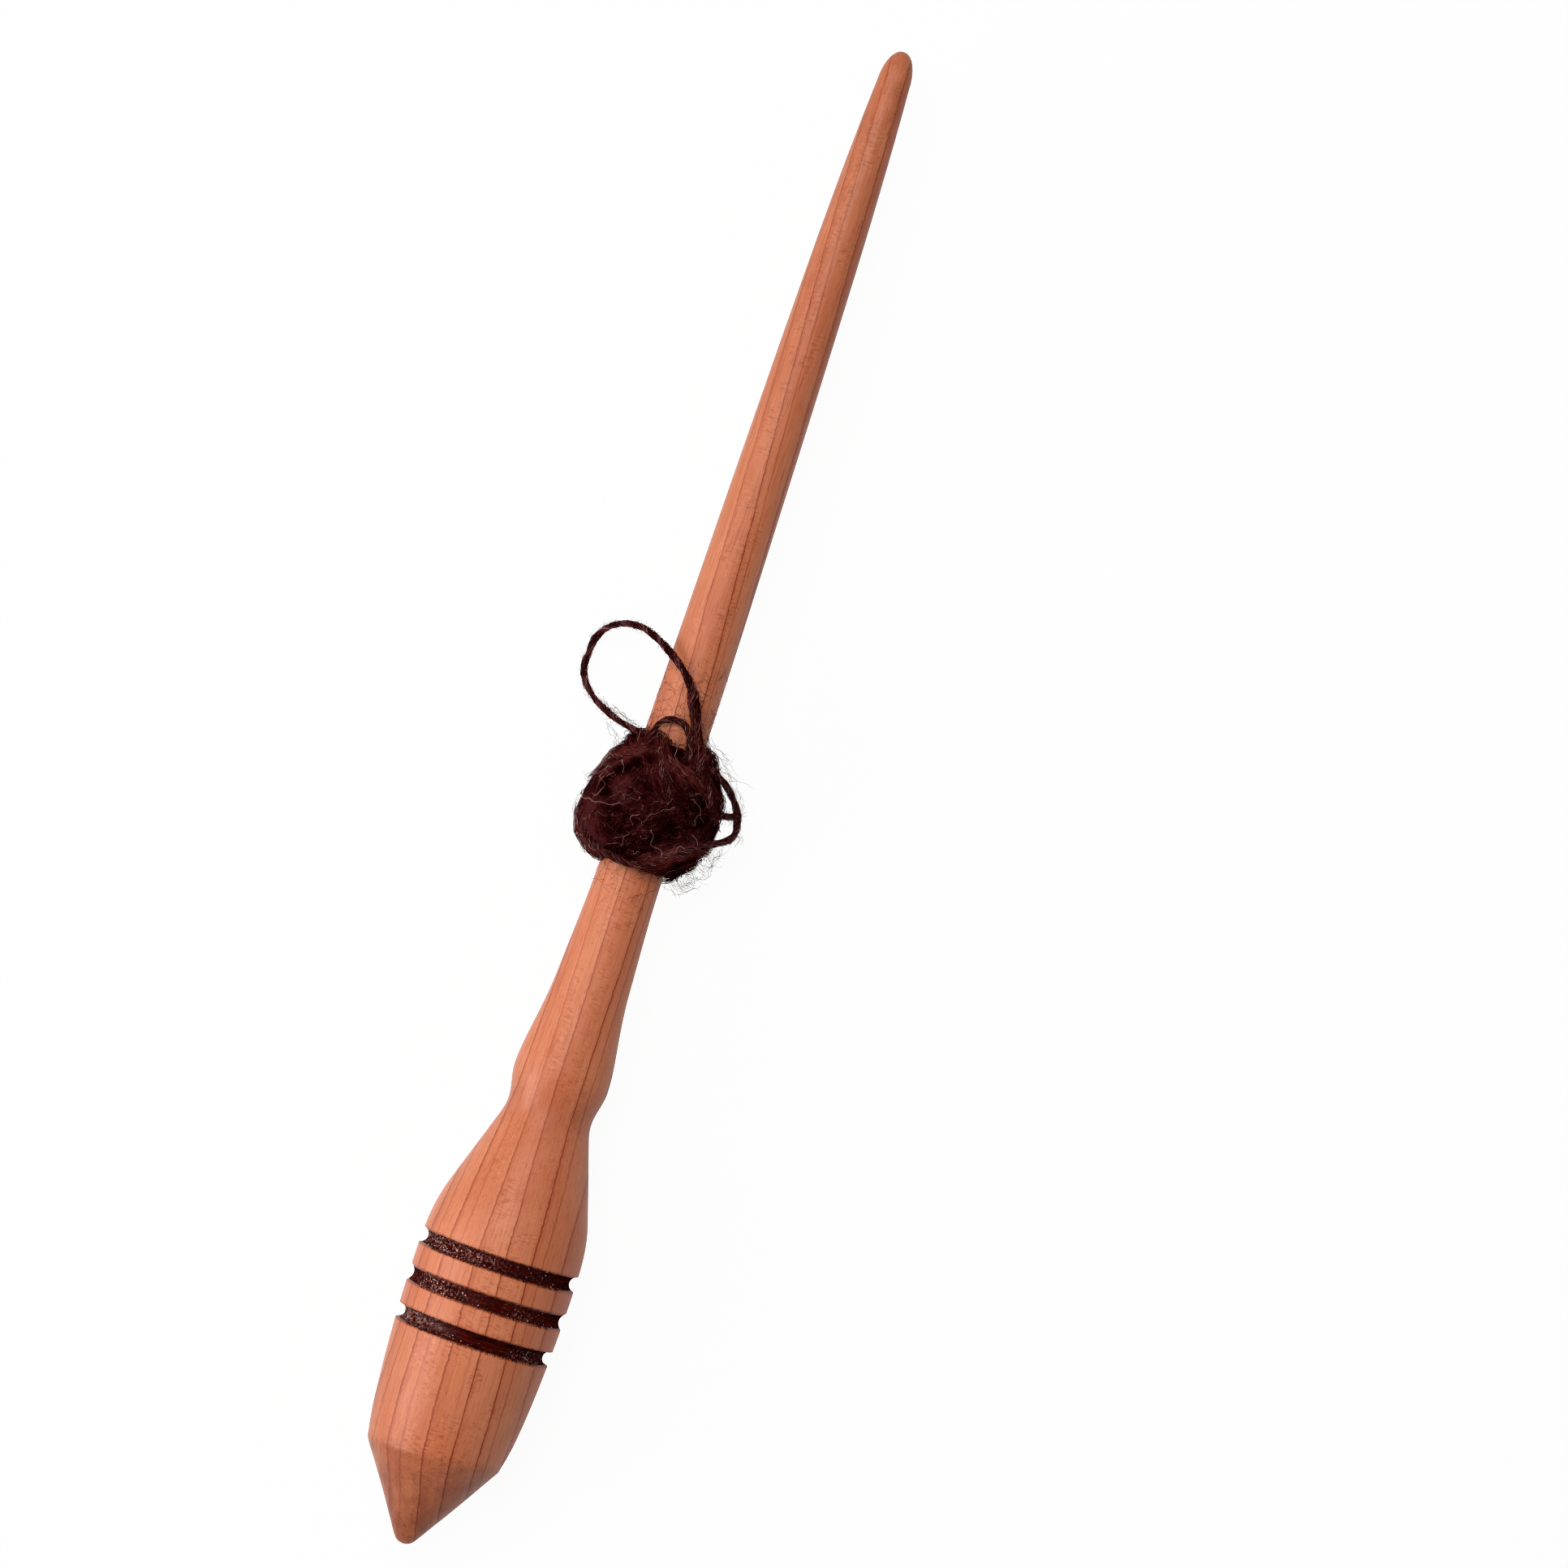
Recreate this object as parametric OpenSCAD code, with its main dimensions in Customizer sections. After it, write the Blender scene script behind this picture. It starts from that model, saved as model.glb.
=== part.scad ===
// Support spindle lying on a table, with a small cop of dark wool wound on its shaft.
// +X runs along the spindle from the spin tip to the shaft end, and +Z is up.
// The origin is on the table, under the middle of the spindle.
// All sizes are millimetres. Places along the spindle are measured from the spin tip.

/* [Spin tip] */
// Radius of the rounded spin tip
tip_r = 2.4; // [1.6:0.1:3.4]
// Place of the soft ridge where the cone meets the belly
shoulder_x = 18.4; // [15:0.2:21]
// Diameter of the cone just before that ridge
cone_d = 25.4; // [24:0.1:25.8]
// Diameter of the belly just behind that ridge
shoulder_d = 26.3; // [26:0.1:27.4]

/* [Belly] */
// Place where the quick swell behind the ridge eases off
swell_x = 26; // [24:0.2:30]
// Diameter at that place
swell_d = 28.4; // [27.6:0.1:29.4]
// Place of the widest part of the belly
belly_x = 53.8; // [50:0.2:58]
// Diameter of the widest part of the belly
belly_d = 31; // [29.6:0.1:34]
// Place where the belly has turned into the straight flank
flank_x = 68.7; // [66:0.1:72]

/* [Grooves] */
// Place of the middle of the front groove
groove_x = 42.2; // [39:0.1:44]
// Spacing of the three grooves
groove_pitch = 7.5; // [6:0.1:9]
// Width of each groove
groove_w = 3; // [2.6:0.1:4]
// Depth of the front groove
front_groove_depth = 1.5; // [0.5:0.05:1.5]
// Depth of the middle groove
middle_groove_depth = 0.9; // [0.5:0.05:1.3]
// Depth of the back groove
back_groove_depth = 1.3; // [0.5:0.05:1.3]

/* [Neck] */
// Place of the narrow neck
neck_x = 87.2; // [85:0.1:89]
// Diameter of the neck
neck_d = 16.6; // [14.4:0.1:17.4]
// Length of the hollow curve on each side of the neck
neck_fillet = 3; // [2:0.1:4]
// Place of the knuckle behind the neck
knuckle_x = 93.6; // [92.2:0.1:96]
// Diameter of the knuckle
knuckle_d = 18.6; // [18:0.1:20]

/* [Shaft] */
// Length of the spindle from tip to shaft end
spindle_length = 300; // [280:1:330]
// Place halfway down the fall from the knuckle to the shaft
fall_x = 104; // [101:0.2:106]
// Diameter there
fall_d = 16.3; // [15.4:0.1:17]
// Place of the foot of that fall
root_x = 113; // [110:0.5:116]
// Diameter there
root_d = 14.4; // [13.8:0.1:15]
// Place where the long taper starts, just below the cop
shaft_x = 134; // [130:0.5:135]
// Diameter there
shaft_d = 12.5; // [11.6:0.1:13.2]
// Place in the middle of the shaft
mid_x = 182; // [175:1:190]
// Diameter there
mid_d = 11.6; // [10.8:0.1:11.9]
// Distance from the shaft end at which the taper quickens
thin_from_end = 47.6; // [40:0.2:55]
// Diameter there
thin_d = 9.4; // [8.6:0.1:9.8]
// Length of the rounded shaft end
end_round = 6.8; // [4:0.1:9]
// Diameter where the rounding of the shaft end starts
end_d = 6.4; // [5:0.1:7]

/* [Cop] */
// Place of the cop's lower end
cop_x = 135; // [132:0.5:150]
// Length of the cop
cop_length = 25.6; // [22:0.1:30]
// Distance from the cop's lower end to its widest part
cop_full = 11.5; // [9:0.1:15]
// Width of the cop
cop_d = 26.6; // [24:0.1:30]
// Thickness of the winding at both ends of the cop
cop_edge = 0.6; // [0.5:0.1:2]
// Sideways lean of the cop's upper half
cop_lean = 1.3; // [0:0.1:2]
// Radial gap between the shaft and the winding
bore_gap = 0.08; // [0.04:0.01:0.1]

/* [Yarn] */
// Thickness of the yarn in the large loop
loop_yarn_d = 1.7; // [1.2:0.1:2]
// Thickness of the yarn in the arch loop
arch_yarn_d = 1.2; // [0.8:0.1:1.6]
// Thickness of the yarn in the side loop
side_yarn_d = 1.5; // [1:0.1:1.8]

/* [Hidden] */

wood = [0.80, 0.50, 0.37];
wool = [0.23, 0.12, 0.11];

tip_steps = 6;
span_steps = 8;
end_steps = 8;
turning_fn = 96;

// The widest part of the belly touches the table.
axis_z = belly_d / 2;

// Half width of the small rounding on the ridge at the shoulder.
ridge_half = 0.8;
// Slopes of the outline, in millimetres of radius for each millimetre of length.
shoulder_slope = 0.22;
swell_slope = 0.10;
flank_slope = 0.326;
fall_slope = -0.145;
root_slope = -0.052;
shaft_slope = -0.012;
mid_slope = -0.0135;
thin_slope = -0.020;
end_slope = -0.060;
// Squareness of the rounded shaft end, where 2 is an ellipse.
end_power = 2.1;

// The cone runs from the rounded tip, as its tangent, to the ridge.
ridge_x = shoulder_x - ridge_half;
cone_run = ridge_x - tip_r;
cone_angle = atan2(cone_d / 2, cone_run) - asin(tip_r / norm([cone_run, cone_d / 2]));

// The flank is straight from the belly down to the hollow of the neck.
fillet_x = neck_x - neck_fillet;
fillet_r = neck_d / 2 + neck_fillet * flank_slope / 2;
flank_r = fillet_r + (fillet_x - flank_x) * flank_slope;

end_x = spindle_length - end_round;

// Each station of the turned outline: its place, its radius and its slope.
stations = [
    [ridge_x, cone_d / 2, tan(cone_angle)],
    [shoulder_x + ridge_half, shoulder_d / 2, shoulder_slope],
    [swell_x, swell_d / 2, swell_slope],
    [belly_x, belly_d / 2, 0],
    [flank_x, flank_r, -flank_slope],
    [fillet_x, fillet_r, -flank_slope],
    [neck_x, neck_d / 2, 0],
    [knuckle_x, knuckle_d / 2, 0],
    [fall_x, fall_d / 2, fall_slope],
    [root_x, root_d / 2, root_slope],
    [shaft_x, shaft_d / 2, shaft_slope],
    [mid_x, mid_d / 2, mid_slope],
    [spindle_length - thin_from_end, thin_d / 2, thin_slope],
    [end_x, end_d / 2, end_slope]
];
last_span = len(stations) - 2;

// Radius on the smooth curve between two stations.
function span_r(a, b, x) =
    let (
        w = b[0] - a[0],
        t = (x - a[0]) / w
    )
    (2 * t^3 - 3 * t^2 + 1) * a[1] + (t^3 - 2 * t^2 + t) * w * a[2]
    + (3 * t^2 - 2 * t^3) * b[1] + (t^3 - t^2) * w * b[2];

// The span that holds a place, and the turned radius there.
function span_of(x, i = 0) = (i == last_span || x <= stations[i + 1][0]) ? i : span_of(x, i + 1);
function turned_r(x) = let (i = span_of(x)) span_r(stations[i], stations[i + 1], x);

// The whole outline as radius and place, from the spin tip to the shaft end.
tip_points = [
    for (k = [0:tip_steps])
        let (a = (90 - cone_angle) * k / tip_steps)
        [tip_r * sin(a), tip_r * (1 - cos(a))]
];
span_points = [
    for (i = [0:last_span])
        for (k = [0:span_steps - 1])
            let (x = stations[i][0] + (stations[i + 1][0] - stations[i][0]) * k / span_steps)
            [turned_r(x), x]
];
end_points = [
    for (k = [0:end_steps])
        let (a = 90 * k / end_steps)
        [end_d / 2 * cos(a)^(2 / end_power), end_x + end_round * sin(a)^(2 / end_power)]
];

// Places things measured from the spin tip, along +Z, on the lying spindle's axis.
module on_axis() {
    translate([-spindle_length / 2, 0, axis_z]) rotate([0, 90, 0]) children();
}

// A round-bottomed groove turned into the belly.
module groove(x, depth) {
    cove_r = (groove_w^2 / 4 + depth^2) / (2 * depth);
    rotate_extrude($fn = turning_fn)
        translate([turned_r(x) - depth + cove_r, x]) circle(r = cove_r, $fn = 48);
}

// The spindle, turned from one piece of fruitwood.
module turned_spindle() {
    color(wood) on_axis() difference() {
        rotate_extrude($fn = turning_fn) polygon(concat(tip_points, span_points, end_points));
        groove(groove_x, front_groove_depth);
        groove(groove_x + groove_pitch, middle_groove_depth);
        groove(groove_x + 2 * groove_pitch, back_groove_depth);
    }
}

cop_sides = 36;
cop_rings = 16;
// Roundness of the cop's lower and upper halves, where 2 is an ellipse.
cop_low_power = 1.6;
cop_high_power = 1.5;
// How far the soft underside would sink into the table if it weren't flattened.
cop_press = 0.35;
// Share by which the cop is lower on its upper side, and the size of its lumps.
cop_sag = 0.07;
cop_lumps = 0.022;
// The underside hangs down to the table, whatever the height of the axis.
cop_droop = (axis_z + cop_press) / (cop_d / 2) - 1;

// One point of the cop's skin: b goes from end to end, and a goes round it.
function cop_point(a, b) =
    let (
        low = b < 90,
        p = low ? cop_low_power : cop_high_power,
        c = abs(cos(b))^(2 / p),
        x = low ? cop_full * (1 - c) : cop_full + (cop_length - cop_full) * c,
        end_r = turned_r(low ? cop_x : cop_x + cop_length) + cop_edge,
        r = end_r + (cop_d / 2 - end_r) * sin(b)^(2 / p),
        under = max(0, -sin(a))^2 * cop_droop * sin(b),
        over = max(0, sin(a))^2 * cop_sag * sin(b),
        lumps = cop_lumps * sin(b) * (sin(3 * a + 40) + sin(5 * a + 3 * b)),
        rr = r * (1 + under - over + lumps),
        lean = low ? 0 : cop_lean * sin(2 * (b - 90))
    )
    [cop_x + x, rr * cos(a) - lean, max(0, axis_z + rr * sin(a))];

cop_skin = [
    for (j = [0:cop_rings])
        for (i = [0:cop_sides - 1])
            cop_point(360 * i / cop_sides, 180 * j / cop_rings)
];

// Side faces of a stack of rings of n points each, closed by a flat face at both ends.
function ring_faces(rings, n) = concat(
    [[for (i = [0:n - 1]) i]],
    [
        for (j = [0:rings - 2])
            for (i = [0:n - 1])
                for (half = [0, 1])
                    let (
                        k = (i + 1) % n,
                        a = j * n + i,
                        b = j * n + k,
                        c = a + n,
                        d = b + n
                    )
                    half == 0 ? [a, c, d] : [a, d, b]
    ],
    [[for (i = [n - 1:-1:0]) (rings - 1) * n + i]]
);

// Clear length of the cutter past each end of the cop.
cutter_past = 2;
bore_steps = 8;
bore_points = [
    for (k = [0:bore_steps])
        let (x = cop_x - cutter_past + (cop_length + 2 * cutter_past) * k / bore_steps)
        [turned_r(x) + bore_gap, x]
];

// The wound body of the cop, soft and lumpy, with a tapered bore that fits the shaft.
module wound_cop() {
    color(wool) difference() {
        translate([-spindle_length / 2, 0, 0])
            polyhedron(cop_skin, ring_faces(cop_rings + 1, cop_sides));
        on_axis() rotate_extrude($fn = turning_fn) polygon(concat(
            [[0, bore_points[0][1]]],
            bore_points,
            [[0, bore_points[bore_steps][1]]]
        ));
    }
}

// Yarn routes: distance from the cop's lower end, sideways place, and height above the table.
// From the cop's front, out over the table, back over the shaft and down the cop's side.
large_route = [
    [16.7, -2, 27.5], [19.5, -0.4, 26.6], [22, 1.3, 25.2], [24, 3, 23], [25.4, 5, 20.9],
    [26.2, 8, 18.2], [26.7, 10.8, 14.4], [27.8, 14, 9.8], [29.4, 17.2, 5.4], [31.8, 20, 2.2],
    [34.7, 21.5, 1.1], [37.6, 21.8, 0.95], [40.6, 21.2, 1.6], [43.1, 19.4, 3.8], [44.7, 16.9, 6.8],
    [45.2, 14.6, 10], [45.1, 12.3, 13.2], [44.3, 9.9, 16.4], [43.2, 7.6, 19.2], [42, 5.6, 21],
    [40.4, 3.4, 22.2], [38.6, 1.4, 22.6], [36.6, -0.3, 22.7], [34.2, -1.6, 22.5], [31.6, -3, 22.1],
    [28.9, -4.1, 21.6], [26.3, -5.3, 21.6], [23.7, -6.6, 23], [21, -8.3, 23.7], [18, -10.3, 23.4],
    [15.3, -11.8, 22.3]
];
// Round the cop's upper left side, then a small arch on the shaft, and back into the cop.
arch_route = [
    [11.7, 12.6, 20.4], [14.7, 12, 19.4], [17.7, 10.8, 19.4], [20.2, 8.8, 20.6], [22, 6.8, 22.4],
    [24, 5, 23.9], [26, 4.1, 24], [28.1, 4, 22.6], [29.6, 3, 22.2], [30.3, 1.2, 22.6],
    [30.1, -0.7, 22.6], [28.9, -2.2, 22.2], [26.9, -3.1, 21.8], [24.8, -3.7, 21.6], [23, -4.2, 21.8]
];
// Along the cop's lower edge from left to right, then a loop that stands off its right side.
side_route = [
    [10, 12.9, 18], [6.7, 12.1, 18], [4.2, 10, 20.3], [2.8, 7.2, 22.6], [2, 4.4, 24],
    [1.7, 1.9, 24.7], [2, -0.5, 25], [3.2, -3, 25.4], [5.6, -6.3, 25.6], [7.6, -9.2, 24.2],
    [9.2, -11.8, 21.5], [10.6, -14.3, 18.2], [12, -16.4, 15.2], [13.9, -17.3, 13.4], [16, -16.8, 13],
    [18.3, -15.5, 14.2], [20.6, -13.4, 16.6], [22.2, -11, 18.8], [23, -8.9, 20.6]
];
// A short strand across the gap inside the side loop.
inner_route = [[15.6, -11.9, 16.6], [15.9, -13.7, 15.8], [16.3, -15.3, 14.6], [17, -16.4, 13.6]];
strand_sides = 8;

function unit(v) = v / norm(v);
// Direction of a route at its point number k.
function heading(route, k) = unit(route[min(k + 1, len(route) - 1)] - route[max(k - 1, 0)]);

// A tube of yarn swept along a route, with one ring at each of its points.
module strand(route, d) {
    n = strand_sides;
    points = [
        for (k = [0:len(route) - 1])
            let (
                along = heading(route, k),
                side = unit(cross(along, [0, 0, 1])),
                up = cross(side, along)
            )
            for (i = [0:n - 1])
                let (a = 360 * i / n)
                route[k] + d / 2 * (cos(a) * side - sin(a) * up)
    ];
    translate([cop_x - spindle_length / 2, 0, 0])
        polyhedron(points, ring_faces(len(route), n));
}

// The large free loop of yarn, with its two legs laid on the cop.
module large_loop() {
    color(wool) strand(large_route, loop_yarn_d);
}

// The small arch of yarn on the shaft, with the turn round the cop that it comes from.
module arch_loop() {
    color(wool) strand(arch_route, arch_yarn_d);
}

// The loop at the cop's right side, with the turn along the cop's lower edge.
module side_loop() {
    color(wool) strand(side_route, side_yarn_d);
}

// The short strand inside the side loop.
module inner_side_loop() {
    color(wool) strand(inner_route, arch_yarn_d);
}

turned_spindle();
wound_cop();
large_loop();
arch_loop();
side_loop();
inner_side_loop();
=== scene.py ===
# Support spindle turned from reddish fruitwood, with a small cop of dark handspun wool on its shaft.
import math
import random

import bmesh
import bpy
import numpy as np
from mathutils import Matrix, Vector
from mathutils.bvhtree import BVHTree


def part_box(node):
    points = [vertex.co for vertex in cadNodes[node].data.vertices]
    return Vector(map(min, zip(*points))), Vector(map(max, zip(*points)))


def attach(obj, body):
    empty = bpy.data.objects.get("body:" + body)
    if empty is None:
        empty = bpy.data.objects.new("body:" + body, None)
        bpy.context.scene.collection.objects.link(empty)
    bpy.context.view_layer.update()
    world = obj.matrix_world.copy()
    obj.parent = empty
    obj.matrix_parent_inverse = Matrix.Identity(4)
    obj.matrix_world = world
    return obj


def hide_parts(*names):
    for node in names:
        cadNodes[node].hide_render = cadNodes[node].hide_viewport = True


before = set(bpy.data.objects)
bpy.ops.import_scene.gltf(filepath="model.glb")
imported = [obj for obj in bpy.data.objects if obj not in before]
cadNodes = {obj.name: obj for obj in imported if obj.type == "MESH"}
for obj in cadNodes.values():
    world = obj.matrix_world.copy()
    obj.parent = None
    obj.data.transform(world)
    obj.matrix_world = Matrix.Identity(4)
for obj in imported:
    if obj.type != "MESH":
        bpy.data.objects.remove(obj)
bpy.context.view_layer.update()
scene = bpy.context.scene
mm = 0.001

spindleLow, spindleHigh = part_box("turned_spindle")
copLow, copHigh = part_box("wound_cop")
tipX = spindleLow.x
axisZ = (spindleLow.z + spindleHigh.z) / 2


def toLinear(hexColour, alpha=1.0):
    # sRGB hex to the linear colour that the shaders take
    channels = [int(hexColour[i:i + 2], 16) / 255 for i in (1, 3, 5)]
    linear = [c / 12.92 if c <= 0.04045 else ((c + 0.055) / 1.055) ** 2.4 for c in channels]
    return (*linear, alpha)


def addNode(tree, kind, links=None, **settings):
    # links gives each live socket, by name or by place, a value, a socket or another node's output
    node = tree.nodes.new(kind)
    for name, value in settings.items():
        setattr(node, name, value)
    for key, value in (links or {}).items():
        live = [s for s in node.inputs if s.enabled]
        socket = live[key] if isinstance(key, int) else next(s for s in live if s.name == key)
        if isinstance(value, bpy.types.Node):
            value = next(s for s in value.outputs if s.enabled)
        if isinstance(value, bpy.types.NodeSocket):
            tree.links.new(value, socket)
        else:
            socket.default_value = value
    return node


def setRamp(node, stops):
    # fills a colour ramp with (place, hex colour) stops
    ramp = node.color_ramp
    while len(ramp.elements) > 1:
        ramp.elements.remove(ramp.elements[-1])
    ramp.elements[0].position = stops[0][0]
    ramp.elements[0].color = toLinear(stops[0][1])
    for place, colour in stops[1:]:
        ramp.elements.new(place).color = toLinear(colour)
    return node


def newMaterial(name):
    material = bpy.data.materials.new(name)
    material.use_nodes = True
    material.node_tree.nodes.clear()
    return material, material.node_tree


# Camera, straight above the table as in the photograph
view = dict(
    height=1450,        # mm from the lens down to the spindle's axis
    frameWidth=299.0,   # mm across the square picture at the axis
    centre=(10.4, -22.4),  # mm, the point on the table under the lens
    turn=-71.42,        # degrees that the picture is turned about the vertical
    sensor=36,
)


def makeCamera():
    data = bpy.data.cameras.new("overheadCamera")
    data.sensor_fit = "HORIZONTAL"
    data.sensor_width = view["sensor"]
    data.lens = view["sensor"] * view["height"] / view["frameWidth"]
    data.clip_start = 0.05
    data.clip_end = 20
    camera = bpy.data.objects.new("overheadCamera", data)
    camera.location = (view["centre"][0] * mm, view["centre"][1] * mm, axisZ + view["height"] * mm)
    camera.rotation_euler = (0, 0, math.radians(view["turn"]))
    scene.collection.objects.link(camera)
    scene.camera = camera


makeCamera()
scene.view_settings.view_transform = "Standard"
scene.cycles.filter_width = 1.0
print("camera set")


# Geometry Nodes trees
def newTree(name, sockets):
    tree = bpy.data.node_groups.new(name, "GeometryNodeTree")
    tree.interface.new_socket("Geometry", in_out="INPUT", socket_type="NodeSocketGeometry")
    tree.interface.new_socket("Geometry", in_out="OUTPUT", socket_type="NodeSocketGeometry")
    for label, kind, value in sockets:
        socket = tree.interface.new_socket(label, in_out="INPUT", socket_type="NodeSocket" + kind)
        if value is not None:
            socket.default_value = value
    return tree


def runTree(source, tree, name, **values):
    # runs the tree on the source object and gives back its result as a plain mesh object
    modifier = source.modifiers.new(tree.name, "NODES")
    modifier.node_group = tree
    wanted = {key.lower(): value for key, value in values.items()}
    for item in tree.interface.items_tree:
        key = item.name.replace(" ", "").lower()
        if item.item_type == "SOCKET" and item.in_out == "INPUT" and key in wanted:
            modifier[item.identifier] = wanted.pop(key)
    assert not wanted, f"{tree.name} has no input for {sorted(wanted)}"
    evaluated = source.evaluated_get(bpy.context.evaluated_depsgraph_get())
    mesh = bpy.data.meshes.new_from_object(evaluated)
    source.modifiers.remove(modifier)
    made = bpy.data.objects.new(name, mesh)
    mesh.name = name
    scene.collection.objects.link(made)
    return made


def makeSpunYarnTree():
    # twists filaments round each other along a guide curve, and adds the fuzz that stands off them
    tree = newTree("spunYarn", [
        ("Thickness", "Float", 1.7 * mm), ("Filament", "Float", 0.3 * mm), ("Filaments", "Int", 14),
        ("Plies", "Int", 2), ("Pitch", "Float", 7 * mm), ("Frizz", "Float", 0.2 * mm),
        ("Step", "Float", 0.6 * mm), ("Fuzz Count", "Int", 400), ("Fuzz Length", "Float", 2 * mm),
        ("Fuzz Thickness", "Float", 0.08 * mm), ("Fuzz Curl", "Float", 1.2 * mm), ("Fuzz Lean", "Float", 2.3),
        ("Frizz Scale", "Float", 520.0), ("Seed", "Int", 1),
        ("Loosen", "Float", 0.0), ("Fray", "Float", 0.0), ("Material", "Material", None),
    ])
    start = addNode(tree, "NodeGroupInput")
    given = start.outputs
    guide = addNode(tree, "GeometryNodeResampleCurve", {"Curve": given["Geometry"], "Length": given["Step"]},
                    mode="LENGTH")
    along = addNode(tree, "GeometryNodeSplineParameter")
    tangent = addNode(tree, "GeometryNodeInputTangent")
    normal = addNode(tree, "GeometryNodeInputNormal")
    # the frame of the guide is stored, because it changes once filaments leave the guide
    stored = guide
    for label, kind, value in (("wayAlong", "FLOAT", along.outputs["Length"]),
                               ("wayFactor", "FLOAT", along.outputs["Factor"]),
                               ("wayTangent", "FLOAT_VECTOR", tangent), ("wayNormal", "FLOAT_VECTOR", normal)):
        stored = addNode(tree, "GeometryNodeStoreNamedAttribute",
                         {"Geometry": stored, "Name": label, "Value": value}, data_type=kind, domain="POINT")
    copies = addNode(tree, "GeometryNodeDuplicateElements",
                     {"Geometry": stored, "Amount": given["Filaments"]}, domain="SPLINE")
    index = copies.outputs["Duplicate Index"]
    length = addNode(tree, "GeometryNodeInputNamedAttribute", {"Name": "wayAlong"}, data_type="FLOAT")
    way = addNode(tree, "GeometryNodeInputNamedAttribute", {"Name": "wayTangent"}, data_type="FLOAT_VECTOR")
    side = addNode(tree, "GeometryNodeInputNamedAttribute", {"Name": "wayNormal"}, data_type="FLOAT_VECTOR")
    third = addNode(tree, "ShaderNodeVectorMath", {0: way, 1: side}, operation="CROSS_PRODUCT")
    spin = addNode(tree, "ShaderNodeMath", {0: length, 1: given["Pitch"]}, operation="DIVIDE")
    turn = addNode(tree, "ShaderNodeMath", {0: spin, 1: math.tau}, operation="MULTIPLY")
    slub = addNode(tree, "ShaderNodeTexNoise", {"W": length, "Scale": 160.0, "Detail": 2.0},
                   noise_dimensions="1D")
    swell = addNode(tree, "ShaderNodeMapRange", {0: slub, 1: 0.3, 2: 0.7, 3: 0.78, 4: 1.22})
    # the twist opens over the last third of the yarn
    share = addNode(tree, "GeometryNodeInputNamedAttribute", {"Name": "wayFactor"}, data_type="FLOAT")
    opened = addNode(tree, "ShaderNodeMapRange", {0: share, 1: 0.55, 2: 0.8, 3: 0.0, 4: 1.0})
    open1 = addNode(tree, "ShaderNodeMath", {0: opened, 1: given["Loosen"], 2: 1.0}, operation="MULTIPLY_ADD")
    begun = addNode(tree, "ShaderNodeMapRange", {0: share, 1: 0.0, 2: 0.35, 3: 0.7, 4: 0.0})
    open2 = addNode(tree, "ShaderNodeMath", {0: begun, 1: given["Fray"], 2: open1}, operation="MULTIPLY_ADD")
    girth = addNode(tree, "ShaderNodeMath", {0: swell, 1: open2}, operation="MULTIPLY")
    # which ply a filament belongs to, and the ply's place round the yarn
    ply = addNode(tree, "ShaderNodeMath", {0: index, 1: given["Plies"]}, operation="MODULO")
    plyShare = addNode(tree, "ShaderNodeMath", {0: ply, 1: given["Plies"]}, operation="DIVIDE")
    plyAngle = addNode(tree, "ShaderNodeMath", {0: plyShare, 1: math.tau, 2: turn}, operation="MULTIPLY_ADD")
    single = addNode(tree, "ShaderNodeMath", {0: given["Plies"], 1: 1.5}, operation="GREATER_THAN")
    plyRadius = addNode(tree, "ShaderNodeMath", {0: single, 1: 0.23}, operation="MULTIPLY")
    strandShare = addNode(tree, "ShaderNodeMapRange", {0: single, 1: 0.0, 2: 1.0, 3: 0.48, 4: 0.25})
    rank = addNode(tree, "ShaderNodeMath", {0: index, 1: 0.5}, operation="ADD")
    fill = addNode(tree, "ShaderNodeMath", {0: rank, 1: given["Filaments"]}, operation="DIVIDE")
    root = addNode(tree, "ShaderNodeMath", {0: fill, 1: 0.4}, operation="POWER")
    ownRadius = addNode(tree, "ShaderNodeMath", {0: root, 1: strandShare}, operation="MULTIPLY")
    golden = addNode(tree, "ShaderNodeMath", {0: index, 1: 2.39996}, operation="MULTIPLY")
    ownAngle = addNode(tree, "ShaderNodeMath", {0: turn, 1: 1.35, 2: golden}, operation="MULTIPLY_ADD")
    offset = None
    for radius, angle in ((plyRadius, plyAngle), (ownRadius, ownAngle)):
        size = addNode(tree, "ShaderNodeMath", {0: radius, 1: given["Thickness"]}, operation="MULTIPLY")
        full = addNode(tree, "ShaderNodeMath", {0: size, 1: girth}, operation="MULTIPLY")
        for curve, axis in (("COSINE", side), ("SINE", third)):
            wave = addNode(tree, "ShaderNodeMath", {0: angle}, operation=curve)
            reach = addNode(tree, "ShaderNodeMath", {0: wave, 1: full}, operation="MULTIPLY")
            part = addNode(tree, "ShaderNodeVectorMath", {0: axis, "Scale": reach}, operation="SCALE")
            if offset is None:
                offset = part
            else:
                offset = addNode(tree, "ShaderNodeVectorMath", {0: offset, 1: part}, operation="ADD")
    seedShift = addNode(tree, "ShaderNodeMath", {0: given["Seed"], 1: 13.7}, operation="MULTIPLY")
    lookUp = addNode(tree, "ShaderNodeCombineXYZ", {0: length, 1: index, 2: seedShift})
    crimp = addNode(tree, "ShaderNodeCombineXYZ", {0: given["Frizz Scale"], 1: 3.7, 2: 1.0})
    stretched = addNode(tree, "ShaderNodeVectorMath", {0: lookUp, 1: crimp}, operation="MULTIPLY")
    wander = addNode(tree, "ShaderNodeTexNoise", {"Vector": stretched, "Scale": 1.0, "Detail": 2.0},
                     noise_dimensions="3D")
    centred = addNode(tree, "ShaderNodeVectorMath", {0: wander.outputs["Color"], 1: (0.5, 0.5, 0.5)},
                      operation="SUBTRACT")
    frizz = addNode(tree, "ShaderNodeVectorMath", {0: centred, "Scale": given["Frizz"]}, operation="SCALE")
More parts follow.
